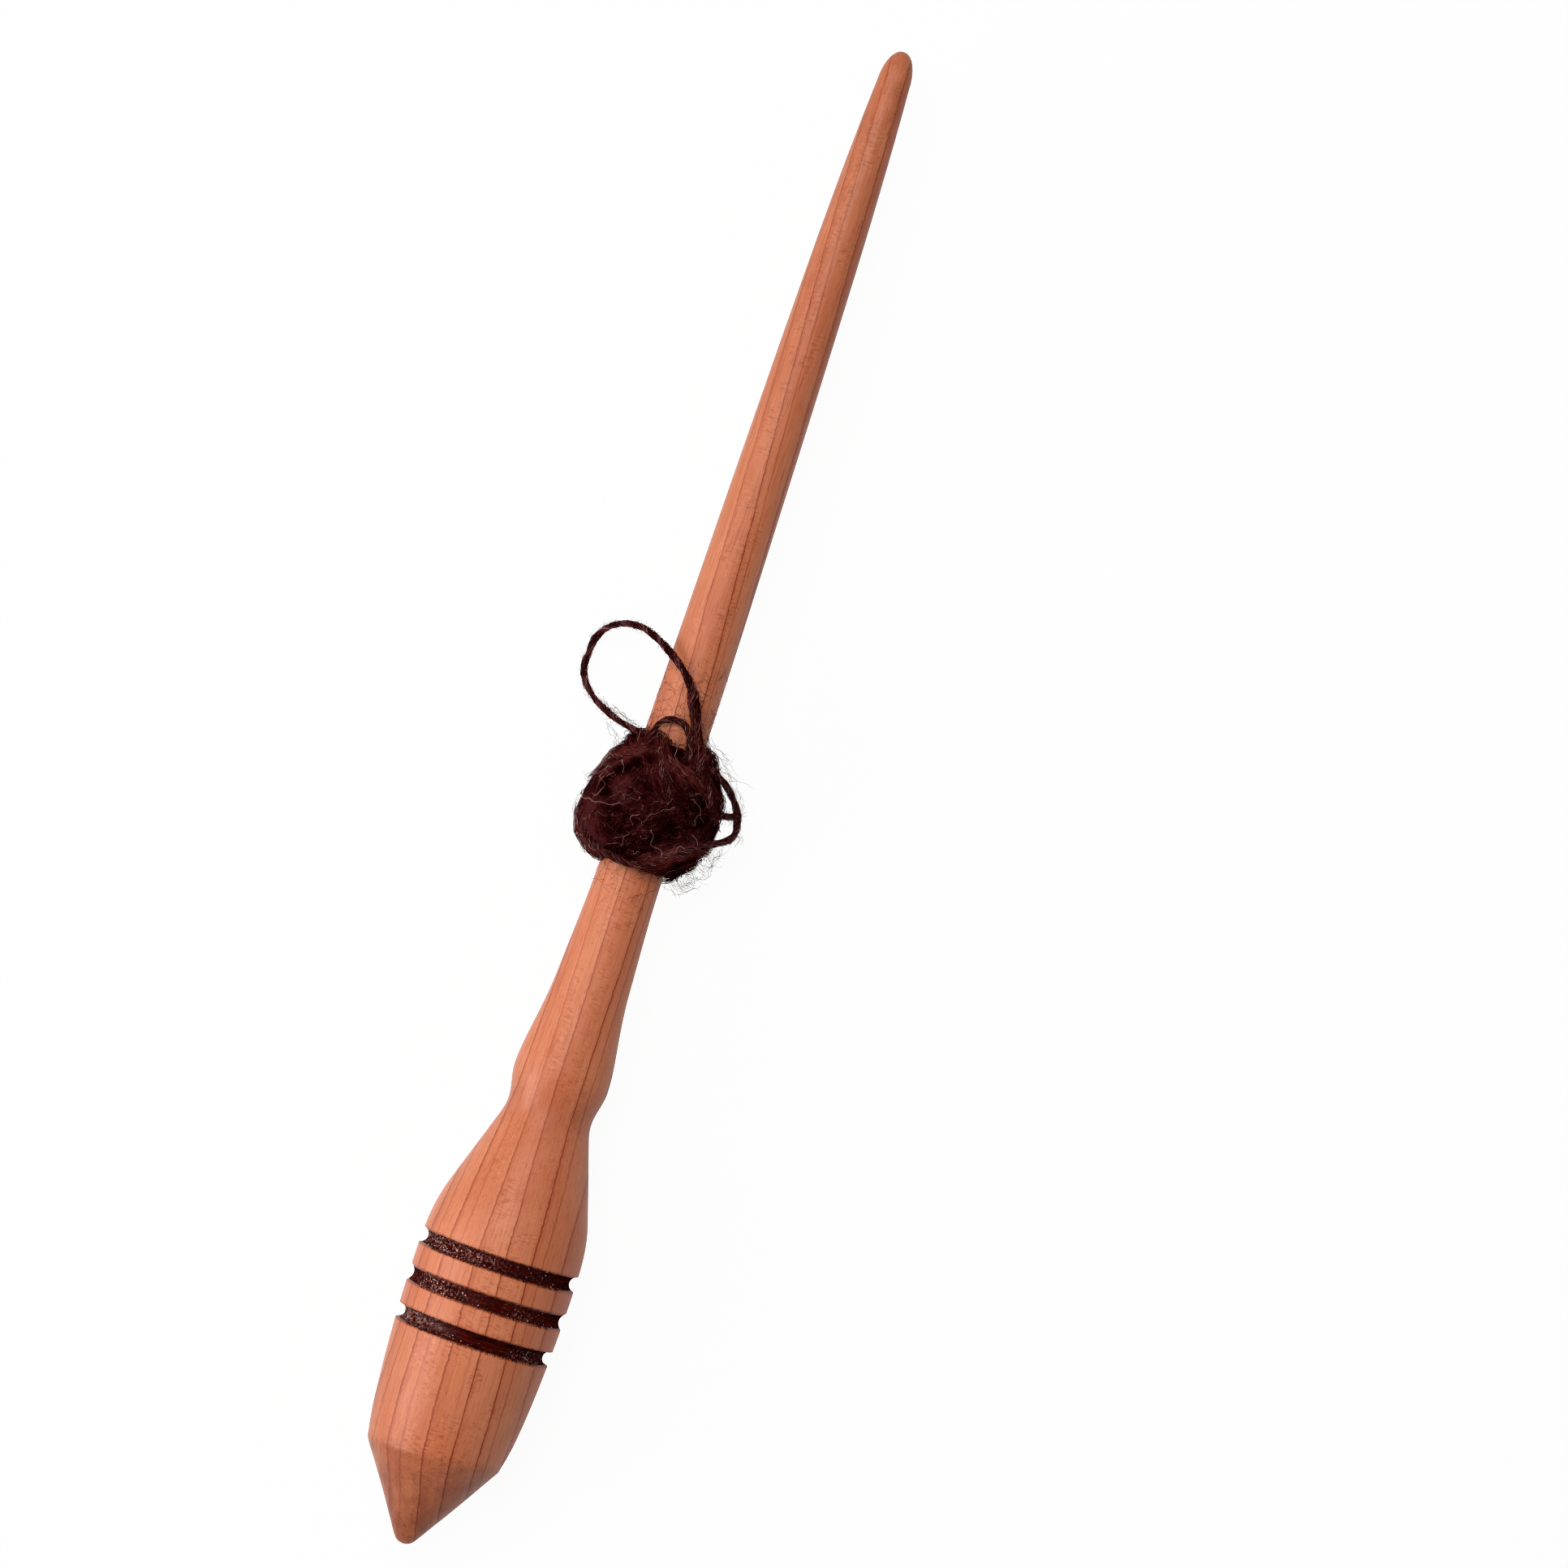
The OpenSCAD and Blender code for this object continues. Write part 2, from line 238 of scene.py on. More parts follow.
    frizzed = addNode(tree, "ShaderNodeVectorMath", {0: offset, 1: frizz}, operation="ADD")
    shifted = addNode(tree, "GeometryNodeSetPosition", {"Geometry": copies, "Offset": frizzed})
    # a frayed bundle's filaments begin and end at places of their own
    most = addNode(tree, "ShaderNodeMath", {0: given["Fray"], 1: 0.42}, operation="MULTIPLY")
    least = addNode(tree, "ShaderNodeMath", {0: most, 1: -1.0, 2: 1.0}, operation="MULTIPLY_ADD")
    first = addNode(tree, "FunctionNodeRandomValue", {"Min": 0.0, "Max": most, "Seed": 31}, data_type="FLOAT")
    last = addNode(tree, "FunctionNodeRandomValue", {"Min": least, "Max": 1.0, "Seed": 32}, data_type="FLOAT")
    moved = addNode(tree, "GeometryNodeTrimCurve", {"Curve": shifted, "Start": first, "End": last}, mode="FACTOR")
    chance = addNode(tree, "FunctionNodeRandomValue", {"Min": 0.0, "Max": 1.0, "ID": index, "Seed": given["Seed"]},
                     data_type="FLOAT")
    hue = addNode(tree, "ShaderNodeMath", {0: chance, 1: 2.0}, operation="POWER")
    faint = addNode(tree, "ShaderNodeMath", {0: hue, 1: 0.6, 2: -0.41}, operation="MULTIPLY_ADD")
    fine = addNode(tree, "ShaderNodeVectorMath", {0: lookUp, 1: (1300.0, 5.1, 1.0)}, operation="MULTIPLY")
    mottle = addNode(tree, "ShaderNodeTexNoise", {"Vector": fine, "Scale": 1.0, "Detail": 2.0},
                     noise_dimensions="3D")
    streak = addNode(tree, "ShaderNodeMath", {0: mottle, 1: 1.25, 2: faint}, operation="MULTIPLY_ADD")
    toned = addNode(tree, "GeometryNodeStoreNamedAttribute",
                    {"Geometry": moved, "Name": "tone", "Value": streak}, data_type="FLOAT", domain="POINT")
    half = addNode(tree, "ShaderNodeMath", {0: given["Filament"], 1: 0.5}, operation="MULTIPLY")
    ring = addNode(tree, "GeometryNodeCurvePrimitiveCircle", {"Resolution": 3, "Radius": half}, mode="RADIUS")
    body = addNode(tree, "GeometryNodeCurveToMesh", {"Curve": toned, "Profile Curve": ring, "Fill Caps": True})

    # the fuzz: short fibres rooted in the yarn, each turned to its own side
    roots = addNode(tree, "GeometryNodeCurveToPoints", {"Curve": guide, "Count": given["Fuzz Count"]}, mode="COUNT")
    around = addNode(tree, "FunctionNodeRandomValue", {"Min": 0.0, "Max": math.tau, "Seed": given["Seed"]},
                     data_type="FLOAT")
    lean = addNode(tree, "FunctionNodeRandomValue", {"Min": 0.2, "Max": given["Fuzz Lean"], "Seed": 7},
                   data_type="FLOAT")
    aroundTurn = addNode(tree, "FunctionNodeAxisAngleToRotation", {"Axis": (0, 0, 1), "Angle": around})
    leanTurn = addNode(tree, "FunctionNodeAxisAngleToRotation", {"Axis": (0, 1, 0), "Angle": lean})
    first = addNode(tree, "FunctionNodeRotateRotation",
                    {"Rotation": roots.outputs["Rotation"], "Rotate By": aroundTurn}, rotation_space="LOCAL")
    second = addNode(tree, "FunctionNodeRotateRotation", {"Rotation": first, "Rotate By": leanTurn},
                     rotation_space="LOCAL")
    share = addNode(tree, "FunctionNodeRandomValue", {"Min": 0.3, "Max": 1.0, "Seed": 11}, data_type="FLOAT")
    reach = addNode(tree, "ShaderNodeMath", {0: share, 1: given["Fuzz Length"]}, operation="MULTIPLY")
    line = addNode(tree, "GeometryNodeCurvePrimitiveLine", {"Start": (0, 0, 0), "End": (0, 0, 1)})
    fibre = addNode(tree, "GeometryNodeResampleCurve", {"Curve": line, "Count": 9}, mode="COUNT")
    planted = addNode(tree, "GeometryNodeInstanceOnPoints",
                      {"Points": roots, "Instance": fibre, "Rotation": second, "Scale": reach})
    ownSeed = addNode(tree, "FunctionNodeRandomValue", {"Min": 0.0, "Max": 50.0, "Seed": given["Seed"]},
                      data_type="FLOAT")
    marked = addNode(tree, "GeometryNodeStoreNamedAttribute",
                     {"Geometry": planted, "Name": "ownSeed", "Value": ownSeed}, data_type="FLOAT", domain="INSTANCE")
    real = addNode(tree, "GeometryNodeRealizeInstances", {"Geometry": marked})
    factor = addNode(tree, "GeometryNodeSplineParameter")
    readSeed = addNode(tree, "GeometryNodeInputNamedAttribute", {"Name": "ownSeed"}, data_type="FLOAT")
    place = addNode(tree, "GeometryNodeInputPosition")
    shifted = addNode(tree, "ShaderNodeVectorMath", {0: place, 1: (620.0, 620.0, 620.0), 2: readSeed},
                      operation="MULTIPLY_ADD")
    curl = addNode(tree, "ShaderNodeTexNoise", {"Vector": shifted, "Scale": 1.0, "Detail": 1.0},
                   noise_dimensions="3D")
    curlMid = addNode(tree, "ShaderNodeVectorMath", {0: curl.outputs["Color"], 1: (0.5, 0.5, 0.5)},
                      operation="SUBTRACT")
    curlReach = addNode(tree, "ShaderNodeMath", {0: factor.outputs["Factor"], 1: given["Fuzz Curl"]},
                        operation="MULTIPLY")
    curled = addNode(tree, "ShaderNodeVectorMath", {0: curlMid, "Scale": curlReach}, operation="SCALE")
    bent = addNode(tree, "GeometryNodeSetPosition", {"Geometry": real, "Offset": curled})
    fuzzTone = addNode(tree, "ShaderNodeMapRange", {0: readSeed, 1: 0.0, 2: 50.0, 3: 0.25, 4: 0.95})
    fuzzToned = addNode(tree, "GeometryNodeStoreNamedAttribute",
                        {"Geometry": bent, "Name": "tone", "Value": fuzzTone}, data_type="FLOAT", domain="POINT")
    fuzzHalf = addNode(tree, "ShaderNodeMath", {0: given["Fuzz Thickness"], 1: 0.5}, operation="MULTIPLY")
    fuzzRing = addNode(tree, "GeometryNodeCurvePrimitiveCircle", {"Resolution": 3, "Radius": fuzzHalf}, mode="RADIUS")
    taper = addNode(tree, "ShaderNodeMapRange", {0: factor.outputs["Factor"], 1: 0.3, 2: 1.0, 3: 1.0, 4: 0.45})
    fuzz = addNode(tree, "GeometryNodeCurveToMesh",
                   {"Curve": fuzzToned, "Profile Curve": fuzzRing, "Scale": taper, "Fill Caps": True})
    joined = addNode(tree, "GeometryNodeJoinGeometry")
    tree.links.new(body.outputs[0], joined.inputs[0])
    tree.links.new(fuzz.outputs[0], joined.inputs[0])
    whole = addNode(tree, "GeometryNodeRealizeInstances", {"Geometry": joined})
    finished = addNode(tree, "GeometryNodeSetMaterial", {"Geometry": whole, "Material": given["Material"]})
    addNode(tree, "NodeGroupOutput", {"Geometry": finished})
    return tree


def makeFeltTree():
    # lays crimped wool fibres on a surface, along the surface's own wind direction
    tree = newTree("woolFibres", [
        ("Density", "Float", 1.0e6), ("Length", "Float", 5 * mm), ("Thickness", "Float", 0.09 * mm),
        ("Spread", "Float", 0.8), ("Lift", "Float", 0.2), ("Cling", "Float", 0.7), ("Height", "Float", 0.2 * mm),
        ("Root", "Float", 0.5), ("Curl", "Float", 1.5 * mm), ("Curl Scale", "Float", 500.0),
        ("Points", "Int", 9), ("Pale", "Float", 0.0), ("Seed", "Int", 1), ("Material", "Material", None),
    ])
    start = addNode(tree, "NodeGroupInput")
    given = start.outputs
    here = addNode(tree, "GeometryNodeInputNamedAttribute", {"Name": "fibreShare"}, data_type="FLOAT")
    crowd = addNode(tree, "ShaderNodeMath", {0: given["Density"], 1: here}, operation="MULTIPLY")
    spots = addNode(tree, "GeometryNodeDistributePointsOnFaces",
                    {"Mesh": given["Geometry"], "Density": crowd, "Seed": given["Seed"]},
                    distribute_method="RANDOM")
    wind = addNode(tree, "GeometryNodeInputNamedAttribute", {"Name": "windWay"}, data_type="FLOAT_VECTOR")
    facing = addNode(tree, "FunctionNodeAxesToRotation",
                     {"Primary Axis": spots.outputs["Normal"], "Secondary Axis": wind},
                     primary_axis="Z", secondary_axis="X")
    most = addNode(tree, "ShaderNodeMath", {0: given["Spread"], 1: -1.0}, operation="MULTIPLY")
    swing = addNode(tree, "FunctionNodeRandomValue", {"Min": most, "Max": given["Spread"], "Seed": given["Seed"]},
                    data_type="FLOAT")
    swung = addNode(tree, "FunctionNodeRotateRotation",
                    {"Rotation": facing,
                     "Rotate By": addNode(tree, "FunctionNodeAxisAngleToRotation", {"Axis": (0, 0, 1), "Angle": swing})},
                    rotation_space="LOCAL")
    liftShare = addNode(tree, "FunctionNodeRandomValue", {"Min": -1.0, "Max": 0.15, "Seed": 5}, data_type="FLOAT")
    liftAngle = addNode(tree, "ShaderNodeMath", {0: liftShare, 1: given["Lift"]}, operation="MULTIPLY")
    lifted = addNode(tree, "FunctionNodeRotateRotation",
                     {"Rotation": swung,
                      "Rotate By": addNode(tree, "FunctionNodeAxisAngleToRotation",
                                           {"Axis": (0, 1, 0), "Angle": liftAngle})},
                     rotation_space="LOCAL")
    startX = addNode(tree, "ShaderNodeMath", {0: given["Root"], 1: -1.0}, operation="MULTIPLY")
    endX = addNode(tree, "ShaderNodeMath", {0: 1.0, 1: given["Root"]}, operation="SUBTRACT")
    line = addNode(tree, "GeometryNodeCurvePrimitiveLine",
                   {"Start": addNode(tree, "ShaderNodeCombineXYZ", {0: startX}),
                    "End": addNode(tree, "ShaderNodeCombineXYZ", {0: endX})})
    fibre = addNode(tree, "GeometryNodeResampleCurve", {"Curve": line, "Count": given["Points"]}, mode="COUNT")
    share = addNode(tree, "FunctionNodeRandomValue", {"Min": 0.35, "Max": 1.0, "Seed": 9}, data_type="FLOAT")
    size = addNode(tree, "ShaderNodeMath", {0: share, 1: given["Length"]}, operation="MULTIPLY")
    planted = addNode(tree, "GeometryNodeInstanceOnPoints",
                      {"Points": spots, "Instance": fibre, "Rotation": lifted, "Scale": size})
    ownSeed = addNode(tree, "FunctionNodeRandomValue", {"Min": 0.0, "Max": 50.0, "Seed": given["Seed"]},
                      data_type="FLOAT")
    marked = addNode(tree, "GeometryNodeStoreNamedAttribute",
                     {"Geometry": planted, "Name": "ownSeed", "Value": ownSeed}, data_type="FLOAT", domain="INSTANCE")
    real = addNode(tree, "GeometryNodeRealizeInstances", {"Geometry": marked})
    along = addNode(tree, "GeometryNodeSplineParameter")
    readSeed = addNode(tree, "GeometryNodeInputNamedAttribute", {"Name": "ownSeed"}, data_type="FLOAT")
    place = addNode(tree, "GeometryNodeInputPosition")
    nearest = addNode(tree, "GeometryNodeProximity", {0: given["Geometry"], "Sample Position": place},
                      target_element="FACES")
    skin = addNode(tree, "GeometryNodeSampleNearestSurface",
                   {"Mesh": given["Geometry"], "Value": addNode(tree, "GeometryNodeInputNormal"),
                    "Sample Position": place}, data_type="FLOAT_VECTOR")
    bump = addNode(tree, "ShaderNodeTexNoise",
                   {"Vector": addNode(tree, "ShaderNodeVectorMath", {0: place, 1: (700.0, 700.0, 700.0), 2: readSeed},
                                      operation="MULTIPLY_ADD"), "Scale": 1.0}, noise_dimensions="3D")
    rise = addNode(tree, "ShaderNodeMath", {0: bump, 1: given["Height"]}, operation="MULTIPLY")
    above = addNode(tree, "ShaderNodeVectorMath", {0: skin, "Scale": rise}, operation="SCALE")
    laid = addNode(tree, "ShaderNodeVectorMath", {0: nearest, 1: above}, operation="ADD")
    hugged = addNode(tree, "ShaderNodeMix", {"Factor": given["Cling"], "A": place, "B": laid}, data_type="VECTOR")
    clung = addNode(tree, "GeometryNodeSetPosition", {"Geometry": real, "Position": hugged})
    lookUp = addNode(tree, "ShaderNodeVectorMath", {0: place, "Scale": given["Curl Scale"]}, operation="SCALE")
    lookShift = addNode(tree, "ShaderNodeVectorMath", {0: lookUp, 1: readSeed}, operation="ADD")
    curl = addNode(tree, "ShaderNodeTexNoise", {"Vector": lookShift, "Scale": 1.0, "Detail": 1.0},
                   noise_dimensions="3D")
    curlMid = addNode(tree, "ShaderNodeVectorMath", {0: curl.outputs["Color"], 1: (0.5, 0.5, 0.5)},
                      operation="SUBTRACT")
    curled = addNode(tree, "ShaderNodeVectorMath", {0: curlMid, "Scale": given["Curl"]}, operation="SCALE")
    bent = addNode(tree, "GeometryNodeSetPosition", {"Geometry": clung, "Offset": curled})
    rank = addNode(tree, "ShaderNodeMath", {0: readSeed, 1: 50.0}, operation="DIVIDE")
    hue = addNode(tree, "ShaderNodeMath", {0: rank, 1: 2.2}, operation="POWER")
    paler = addNode(tree, "ShaderNodeMath", {0: hue, 1: 0.75, 2: given["Pale"]}, operation="MULTIPLY_ADD")
    toned = addNode(tree, "GeometryNodeStoreNamedAttribute",
                    {"Geometry": bent, "Name": "tone", "Value": paler}, data_type="FLOAT", domain="POINT")
    half = addNode(tree, "ShaderNodeMath", {0: given["Thickness"], 1: 0.5}, operation="MULTIPLY")
    ring = addNode(tree, "GeometryNodeCurvePrimitiveCircle", {"Resolution": 3, "Radius": half}, mode="RADIUS")
    taper = addNode(tree, "ShaderNodeMapRange", {0: along.outputs["Factor"], 1: 0.6, 2: 1.0, 3: 1.0, 4: 0.5})
    body = addNode(tree, "GeometryNodeCurveToMesh",
                   {"Curve": toned, "Profile Curve": ring, "Scale": taper, "Fill Caps": True})
    whole = addNode(tree, "GeometryNodeRealizeInstances", {"Geometry": body})
    finished = addNode(tree, "GeometryNodeSetMaterial", {"Geometry": whole, "Material": given["Material"]})
    addNode(tree, "NodeGroupOutput", {"Geometry": finished})
    return tree


def makeLintTree():
    # scatters small flattened specks over a surface
    tree = newTree("lintSpecks", [
        ("Density", "Float", 1.0e6), ("Size", "Float", 0.15 * mm), ("Seed", "Int", 1), ("Material", "Material", None),
    ])
    given = addNode(tree, "NodeGroupInput").outputs
    here = addNode(tree, "GeometryNodeInputNamedAttribute", {"Name": "fibreShare"}, data_type="FLOAT")
    crowd = addNode(tree, "ShaderNodeMath", {0: given["Density"], 1: here}, operation="MULTIPLY")
    spots = addNode(tree, "GeometryNodeDistributePointsOnFaces",
                    {"Mesh": given["Geometry"], "Density": crowd, "Seed": given["Seed"]}, distribute_method="RANDOM")
    speck = addNode(tree, "GeometryNodeMeshIcoSphere", {"Radius": 0.5, "Subdivisions": 1})
    turn = addNode(tree, "FunctionNodeRandomValue", {"Min": 0.0, "Max": math.tau, "Seed": given["Seed"]},
                   data_type="FLOAT")
    turned = addNode(tree, "FunctionNodeRotateRotation",
                     {"Rotation": spots.outputs["Rotation"],
                      "Rotate By": addNode(tree, "FunctionNodeAxisAngleToRotation", {"Axis": (0, 0, 1), "Angle": turn})},
                     rotation_space="LOCAL")
    shape = addNode(tree, "FunctionNodeRandomValue", {"Min": (0.4, 0.3, 0.25), "Max": (1.9, 1.0, 0.6), "Seed": 3},
                    data_type="FLOAT_VECTOR")
    size = addNode(tree, "ShaderNodeVectorMath", {0: shape, "Scale": given["Size"]}, operation="SCALE")
    planted = addNode(tree, "GeometryNodeInstanceOnPoints",
                      {"Points": spots, "Instance": speck, "Rotation": turned, "Scale": size})
    pale = addNode(tree, "FunctionNodeRandomValue", {"Min": 0.0, "Max": 1.0, "Seed": 8}, data_type="FLOAT")
    toned = addNode(tree, "GeometryNodeStoreNamedAttribute", {"Geometry": planted, "Name": "tone", "Value": pale},
                    data_type="FLOAT", domain="INSTANCE")
    real = addNode(tree, "GeometryNodeRealizeInstances", {"Geometry": toned})
    done = addNode(tree, "GeometryNodeSetMaterial", {"Geometry": real, "Material": given["Material"]})
    addNode(tree, "NodeGroupOutput", {"Geometry": done})
    return tree


# Wool: dark brown handspun fleece, matt, each fibre its own brown
def makeWool(name, darkest, dark, middle, pale):
    material, tree = newMaterial(name)
    tone = addNode(tree, "ShaderNodeAttribute", attribute_type="GEOMETRY", attribute_name="tone")
    ramp = setRamp(addNode(tree, "ShaderNodeValToRGB", {"Fac": tone.outputs["Fac"]}),
                   [(0.1, darkest), (0.4, dark), (0.7, middle), (1.0, pale)])
    shader = addNode(tree, "ShaderNodeBsdfPrincipled",
                     {"Base Color": ramp, "Roughness": 0.7, "Specular IOR Level": 0.0})
    addNode(tree, "ShaderNodeOutputMaterial", {"Surface": shader})
    return material


spunYarnTree = makeSpunYarnTree()
feltTree = makeFeltTree()
lintTree = makeLintTree()
yarnWool = makeWool("handspunWool", "#1C0403", "#42100D", "#76332E", "#B07C72")
loopWool = makeWool("looseYarnWool", "#1A0405", "#3A0F0F", "#6C3231", "#B48C86")
fleeceWool = makeWool("mattedFleece", "#1A0303", "#3A0B0C", "#642829", "#A6756F")
paleWool = makeWool("paleCurlyFibres", "#7C5650", "#98726A", "#BA958C", "#DEC8C0")
charFibre = makeWool("charredWoodFibre", "#160605", "#240C0A", "#3A1A12", "#6B3A22")
paleLint = makeWool("paleLint", "#B49A92", "#D8C2B8", "#F2E4DC", "#FFFAF4")
dullLint = makeWool("dullLint", "#5A3A34", "#7C5850", "#AE8A80", "#E6D0C4")
print("trees and fibres ready")


def addAttribute(mesh, name, values):
    if name not in mesh.attributes:
        mesh.attributes.new(name, "FLOAT", "POINT")
    mesh.attributes[name].data.foreach_set("value", np.asarray(values, dtype=np.float32))


def pointsOf(mesh):
    places = np.empty(len(mesh.vertices) * 3)
    mesh.vertices.foreach_get("co", places)
    return places.reshape(-1, 3)


def setWay(mesh, ways):
    # the direction in which fibres lie
    if "windWay" not in mesh.attributes:
        mesh.attributes.new("windWay", "FLOAT_VECTOR", "POINT")
    mesh.attributes["windWay"].data.foreach_set("vector", ways.astype(np.float32).ravel())


def smoothRoute(points, steps=6):
    # a smooth line through the points, closer together
    spread = [points[0]] + list(points) + [points[-1]]
    line = []
    for a, b, c, d in zip(spread, spread[1:], spread[2:], spread[3:]):
        for k in range(steps):
            t = k / steps
            line.append(tuple(
                0.5 * (2 * q + (r - p) * t + (2 * p - 5 * q + 4 * r - s) * t * t + (3 * q - p - 3 * r + s) * t ** 3)
                for p, q, r, s in zip(a, b, c, d)))
    line.append(tuple(points[-1]))
    return line


def guideCurve(name, lines):
    # one curve object that holds every line as a poly spline
    curve = bpy.data.curves.new(name, "CURVE")
    curve.dimensions = "3D"
    for line in lines:
        spline = curve.splines.new("POLY")
        spline.points.add(len(line) - 1)
        for point, place in zip(spline.points, line):
            point.co = (*place, 1)
    guide = bpy.data.objects.new(name, curve)
    scene.collection.objects.link(guide)
    return guide


def keepAbove(piece, height):
    # nothing of the wool goes below the table
    count = len(piece.data.vertices)
    places = np.empty(count * 3)
    piece.data.vertices.foreach_get("co", places)
    places = places.reshape(-1, 3)
    places[:, 2] = np.maximum(places[:, 2], height)
    piece.data.vertices.foreach_set("co", places.ravel())
    piece.data.update()


def spin(name, lines, **values):
    guide = guideCurve(name + "Guide", lines)
    piece = runTree(guide, spunYarnTree, name, **values)
    bpy.data.objects.remove(guide)
    keepAbove(piece, 0.02 * mm)
    return piece


# The free lengths of yarn. Route points: mm from the cop's lower end, sideways, above the table
looseYarn = dict(
    largeLoop=dict(node="large_loop", length=0.108, diameter=1.7, share=0.72, seed=3, filaments=60, pitch=9, fuzz=16,
                   loosen=0.4,
                   route=[
        (16.7, -2, 27.5), (19.5, -0.4, 26.6), (22, 1.3, 25.2), (24, 3, 23), (25.4, 5, 20.9),
        (26.2, 8, 18.2), (26.7, 10.8, 14.4), (27.8, 14, 9.8), (29.4, 17.2, 5.4), (31.8, 20, 2.2),
        (34.7, 21.3, 1.1), (37.6, 21.3, 0.95), (40.6, 20.9, 1.6), (43.1, 19.4, 3.8), (44.7, 16.9, 6.8),
        (45.2, 14.6, 10), (45.1, 12.3, 13.2), (44.3, 9.9, 16.4), (43.2, 7.6, 19.2), (42, 5.6, 21),
        (40.4, 3.4, 22.2), (38.6, 1.4, 22.6), (36.6, -0.3, 22.7), (34.2, -1.6, 22.5), (31.6, -3, 22.1),
        (28.9, -4.1, 21.6), (26.3, -5.3, 21.6), (23.7, -6.6, 23), (21, -8.3, 23.7), (18, -10.3, 23.4),
        (15.3, -11.8, 22.3)]),
    archLoop=dict(node="arch_loop", length=0.035, diameter=1.2, share=0.95, seed=5, filaments=80, pitch=8, fuzz=12,
                  loosen=0.0,
                  route=[
        (11.7, 12.6, 20.4), (14.7, 12, 19.4), (17.7, 10.8, 19.4), (20.2, 8.8, 20.6), (22, 6.8, 22.4),
        (24, 5, 23.9), (26, 4.1, 24), (28.1, 4, 22.6), (29.6, 3, 22.2), (30.3, 1.2, 22.6),
        (30.1, -0.7, 22.6), (28.9, -2.2, 22.2), (26.9, -3.1, 21.8), (24.8, -3.7, 21.6), (23, -4.2, 21.8)]),
    sideLoop=dict(node="side_loop", length=0.061, diameter=1.5, share=0.84, seed=8, filaments=60, pitch=9, fuzz=16,
                  loosen=0.1,
                  route=[
        (10, 12.9, 18), (6.7, 12.1, 18), (4.2, 10, 20.3), (2.8, 7.2, 22.6), (2, 4.4, 24),
        (1.7, 1.9, 24.7), (2, -0.5, 25), (3.2, -3, 25.4), (5.6, -6.3, 25.6), (7.6, -9.2, 24.2),
        (9.2, -11.6, 21.5), (10.6, -14, 18.2), (12, -16, 15.2), (13.9, -16.6, 13.4), (16, -16.1, 13),
        (18.3, -15, 14.2), (20.6, -13.1, 16.6), (22.2, -11, 18.8), (23, -8.9, 20.6)]),
)
innerStrand = dict(diameter=1.2, route=[(15.6, -11.9, 16.6), (15.9, -13.7, 15.8), (16.3, -15.3, 14.6), (17, -16.4, 13.6)])


def fromCop(route):
    return [(copLow.x + x * mm, y * mm, z * mm) for x, y, z in route]


def makeLooseYarn():
    for name, yarn in looseYarn.items():
        path = smoothRoute(fromCop(yarn["route"]))
        thick = yarn["diameter"] * mm
        count = int(yarn["length"] / mm * yarn["fuzz"])
        # the yarn is slimmer to the eye than its full width with the fuzz
        piece = spin(name, [path], thickness=yarn["share"] * thick, filament=0.11 * mm, filaments=yarn["filaments"],
                     plies=1, pitch=yarn["pitch"] * mm, frizz=0.9 * mm, frizzScale=650.0, step=0.4 * mm,
                     fuzzCount=count, fuzzLength=2.6 * mm, fuzzThickness=0.045 * mm, fuzzCurl=1.8 * mm, fuzzLean=0.8,
                     loosen=yarn["loosen"], seed=yarn["seed"], material=loopWool)
        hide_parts(yarn["node"])
        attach(piece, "yarn")
    thick = innerStrand["diameter"] * mm
    piece = spin("innerSideLoop", [smoothRoute(fromCop(innerStrand["route"]))], thickness=thick,
                 filament=0.14 * mm, filaments=40, plies=1, pitch=8 * mm, frizz=0.8 * mm, frizzScale=650.0,
                 step=0.4 * mm, fuzzCount=90, fuzzLength=2.4 * mm, fuzzThickness=0.045 * mm, fuzzCurl=1.8 * mm,
                 seed=4, material=loopWool)
    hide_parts("inner_side_loop")
    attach(piece, "yarn")


makeLooseYarn()
print("loose yarn spun")


# Floor and light
studio = dict(
    key=dict(power=15.5, size=1.0, place=(0.4, 0.4, 1.35)),
    side=dict(power=2.9, size=0.55, place=(-0.3, 0.62, 0.34)),
    # a pale window on the same side, which only shows as sheen
    sheen=dict(power=8.5, size=0.8, place=(-0.3, 0.9, 0.5)),
    skyStrength=0.175,
)


def makeLamp(name, power, size, place, lights=True):
    data = bpy.data.lights.new(name, "AREA")
    data.shape = "DISK"
    data.energy = power
    data.size = size
    lamp = bpy.data.objects.new(name, data)
    lamp.location = place
    lamp.visible_diffuse = lights
    lamp.rotation_euler = (Vector((0, 0, 0)) - Vector(place)).to_track_quat("-Z", "Y").to_euler()
    scene.collection.objects.link(lamp)


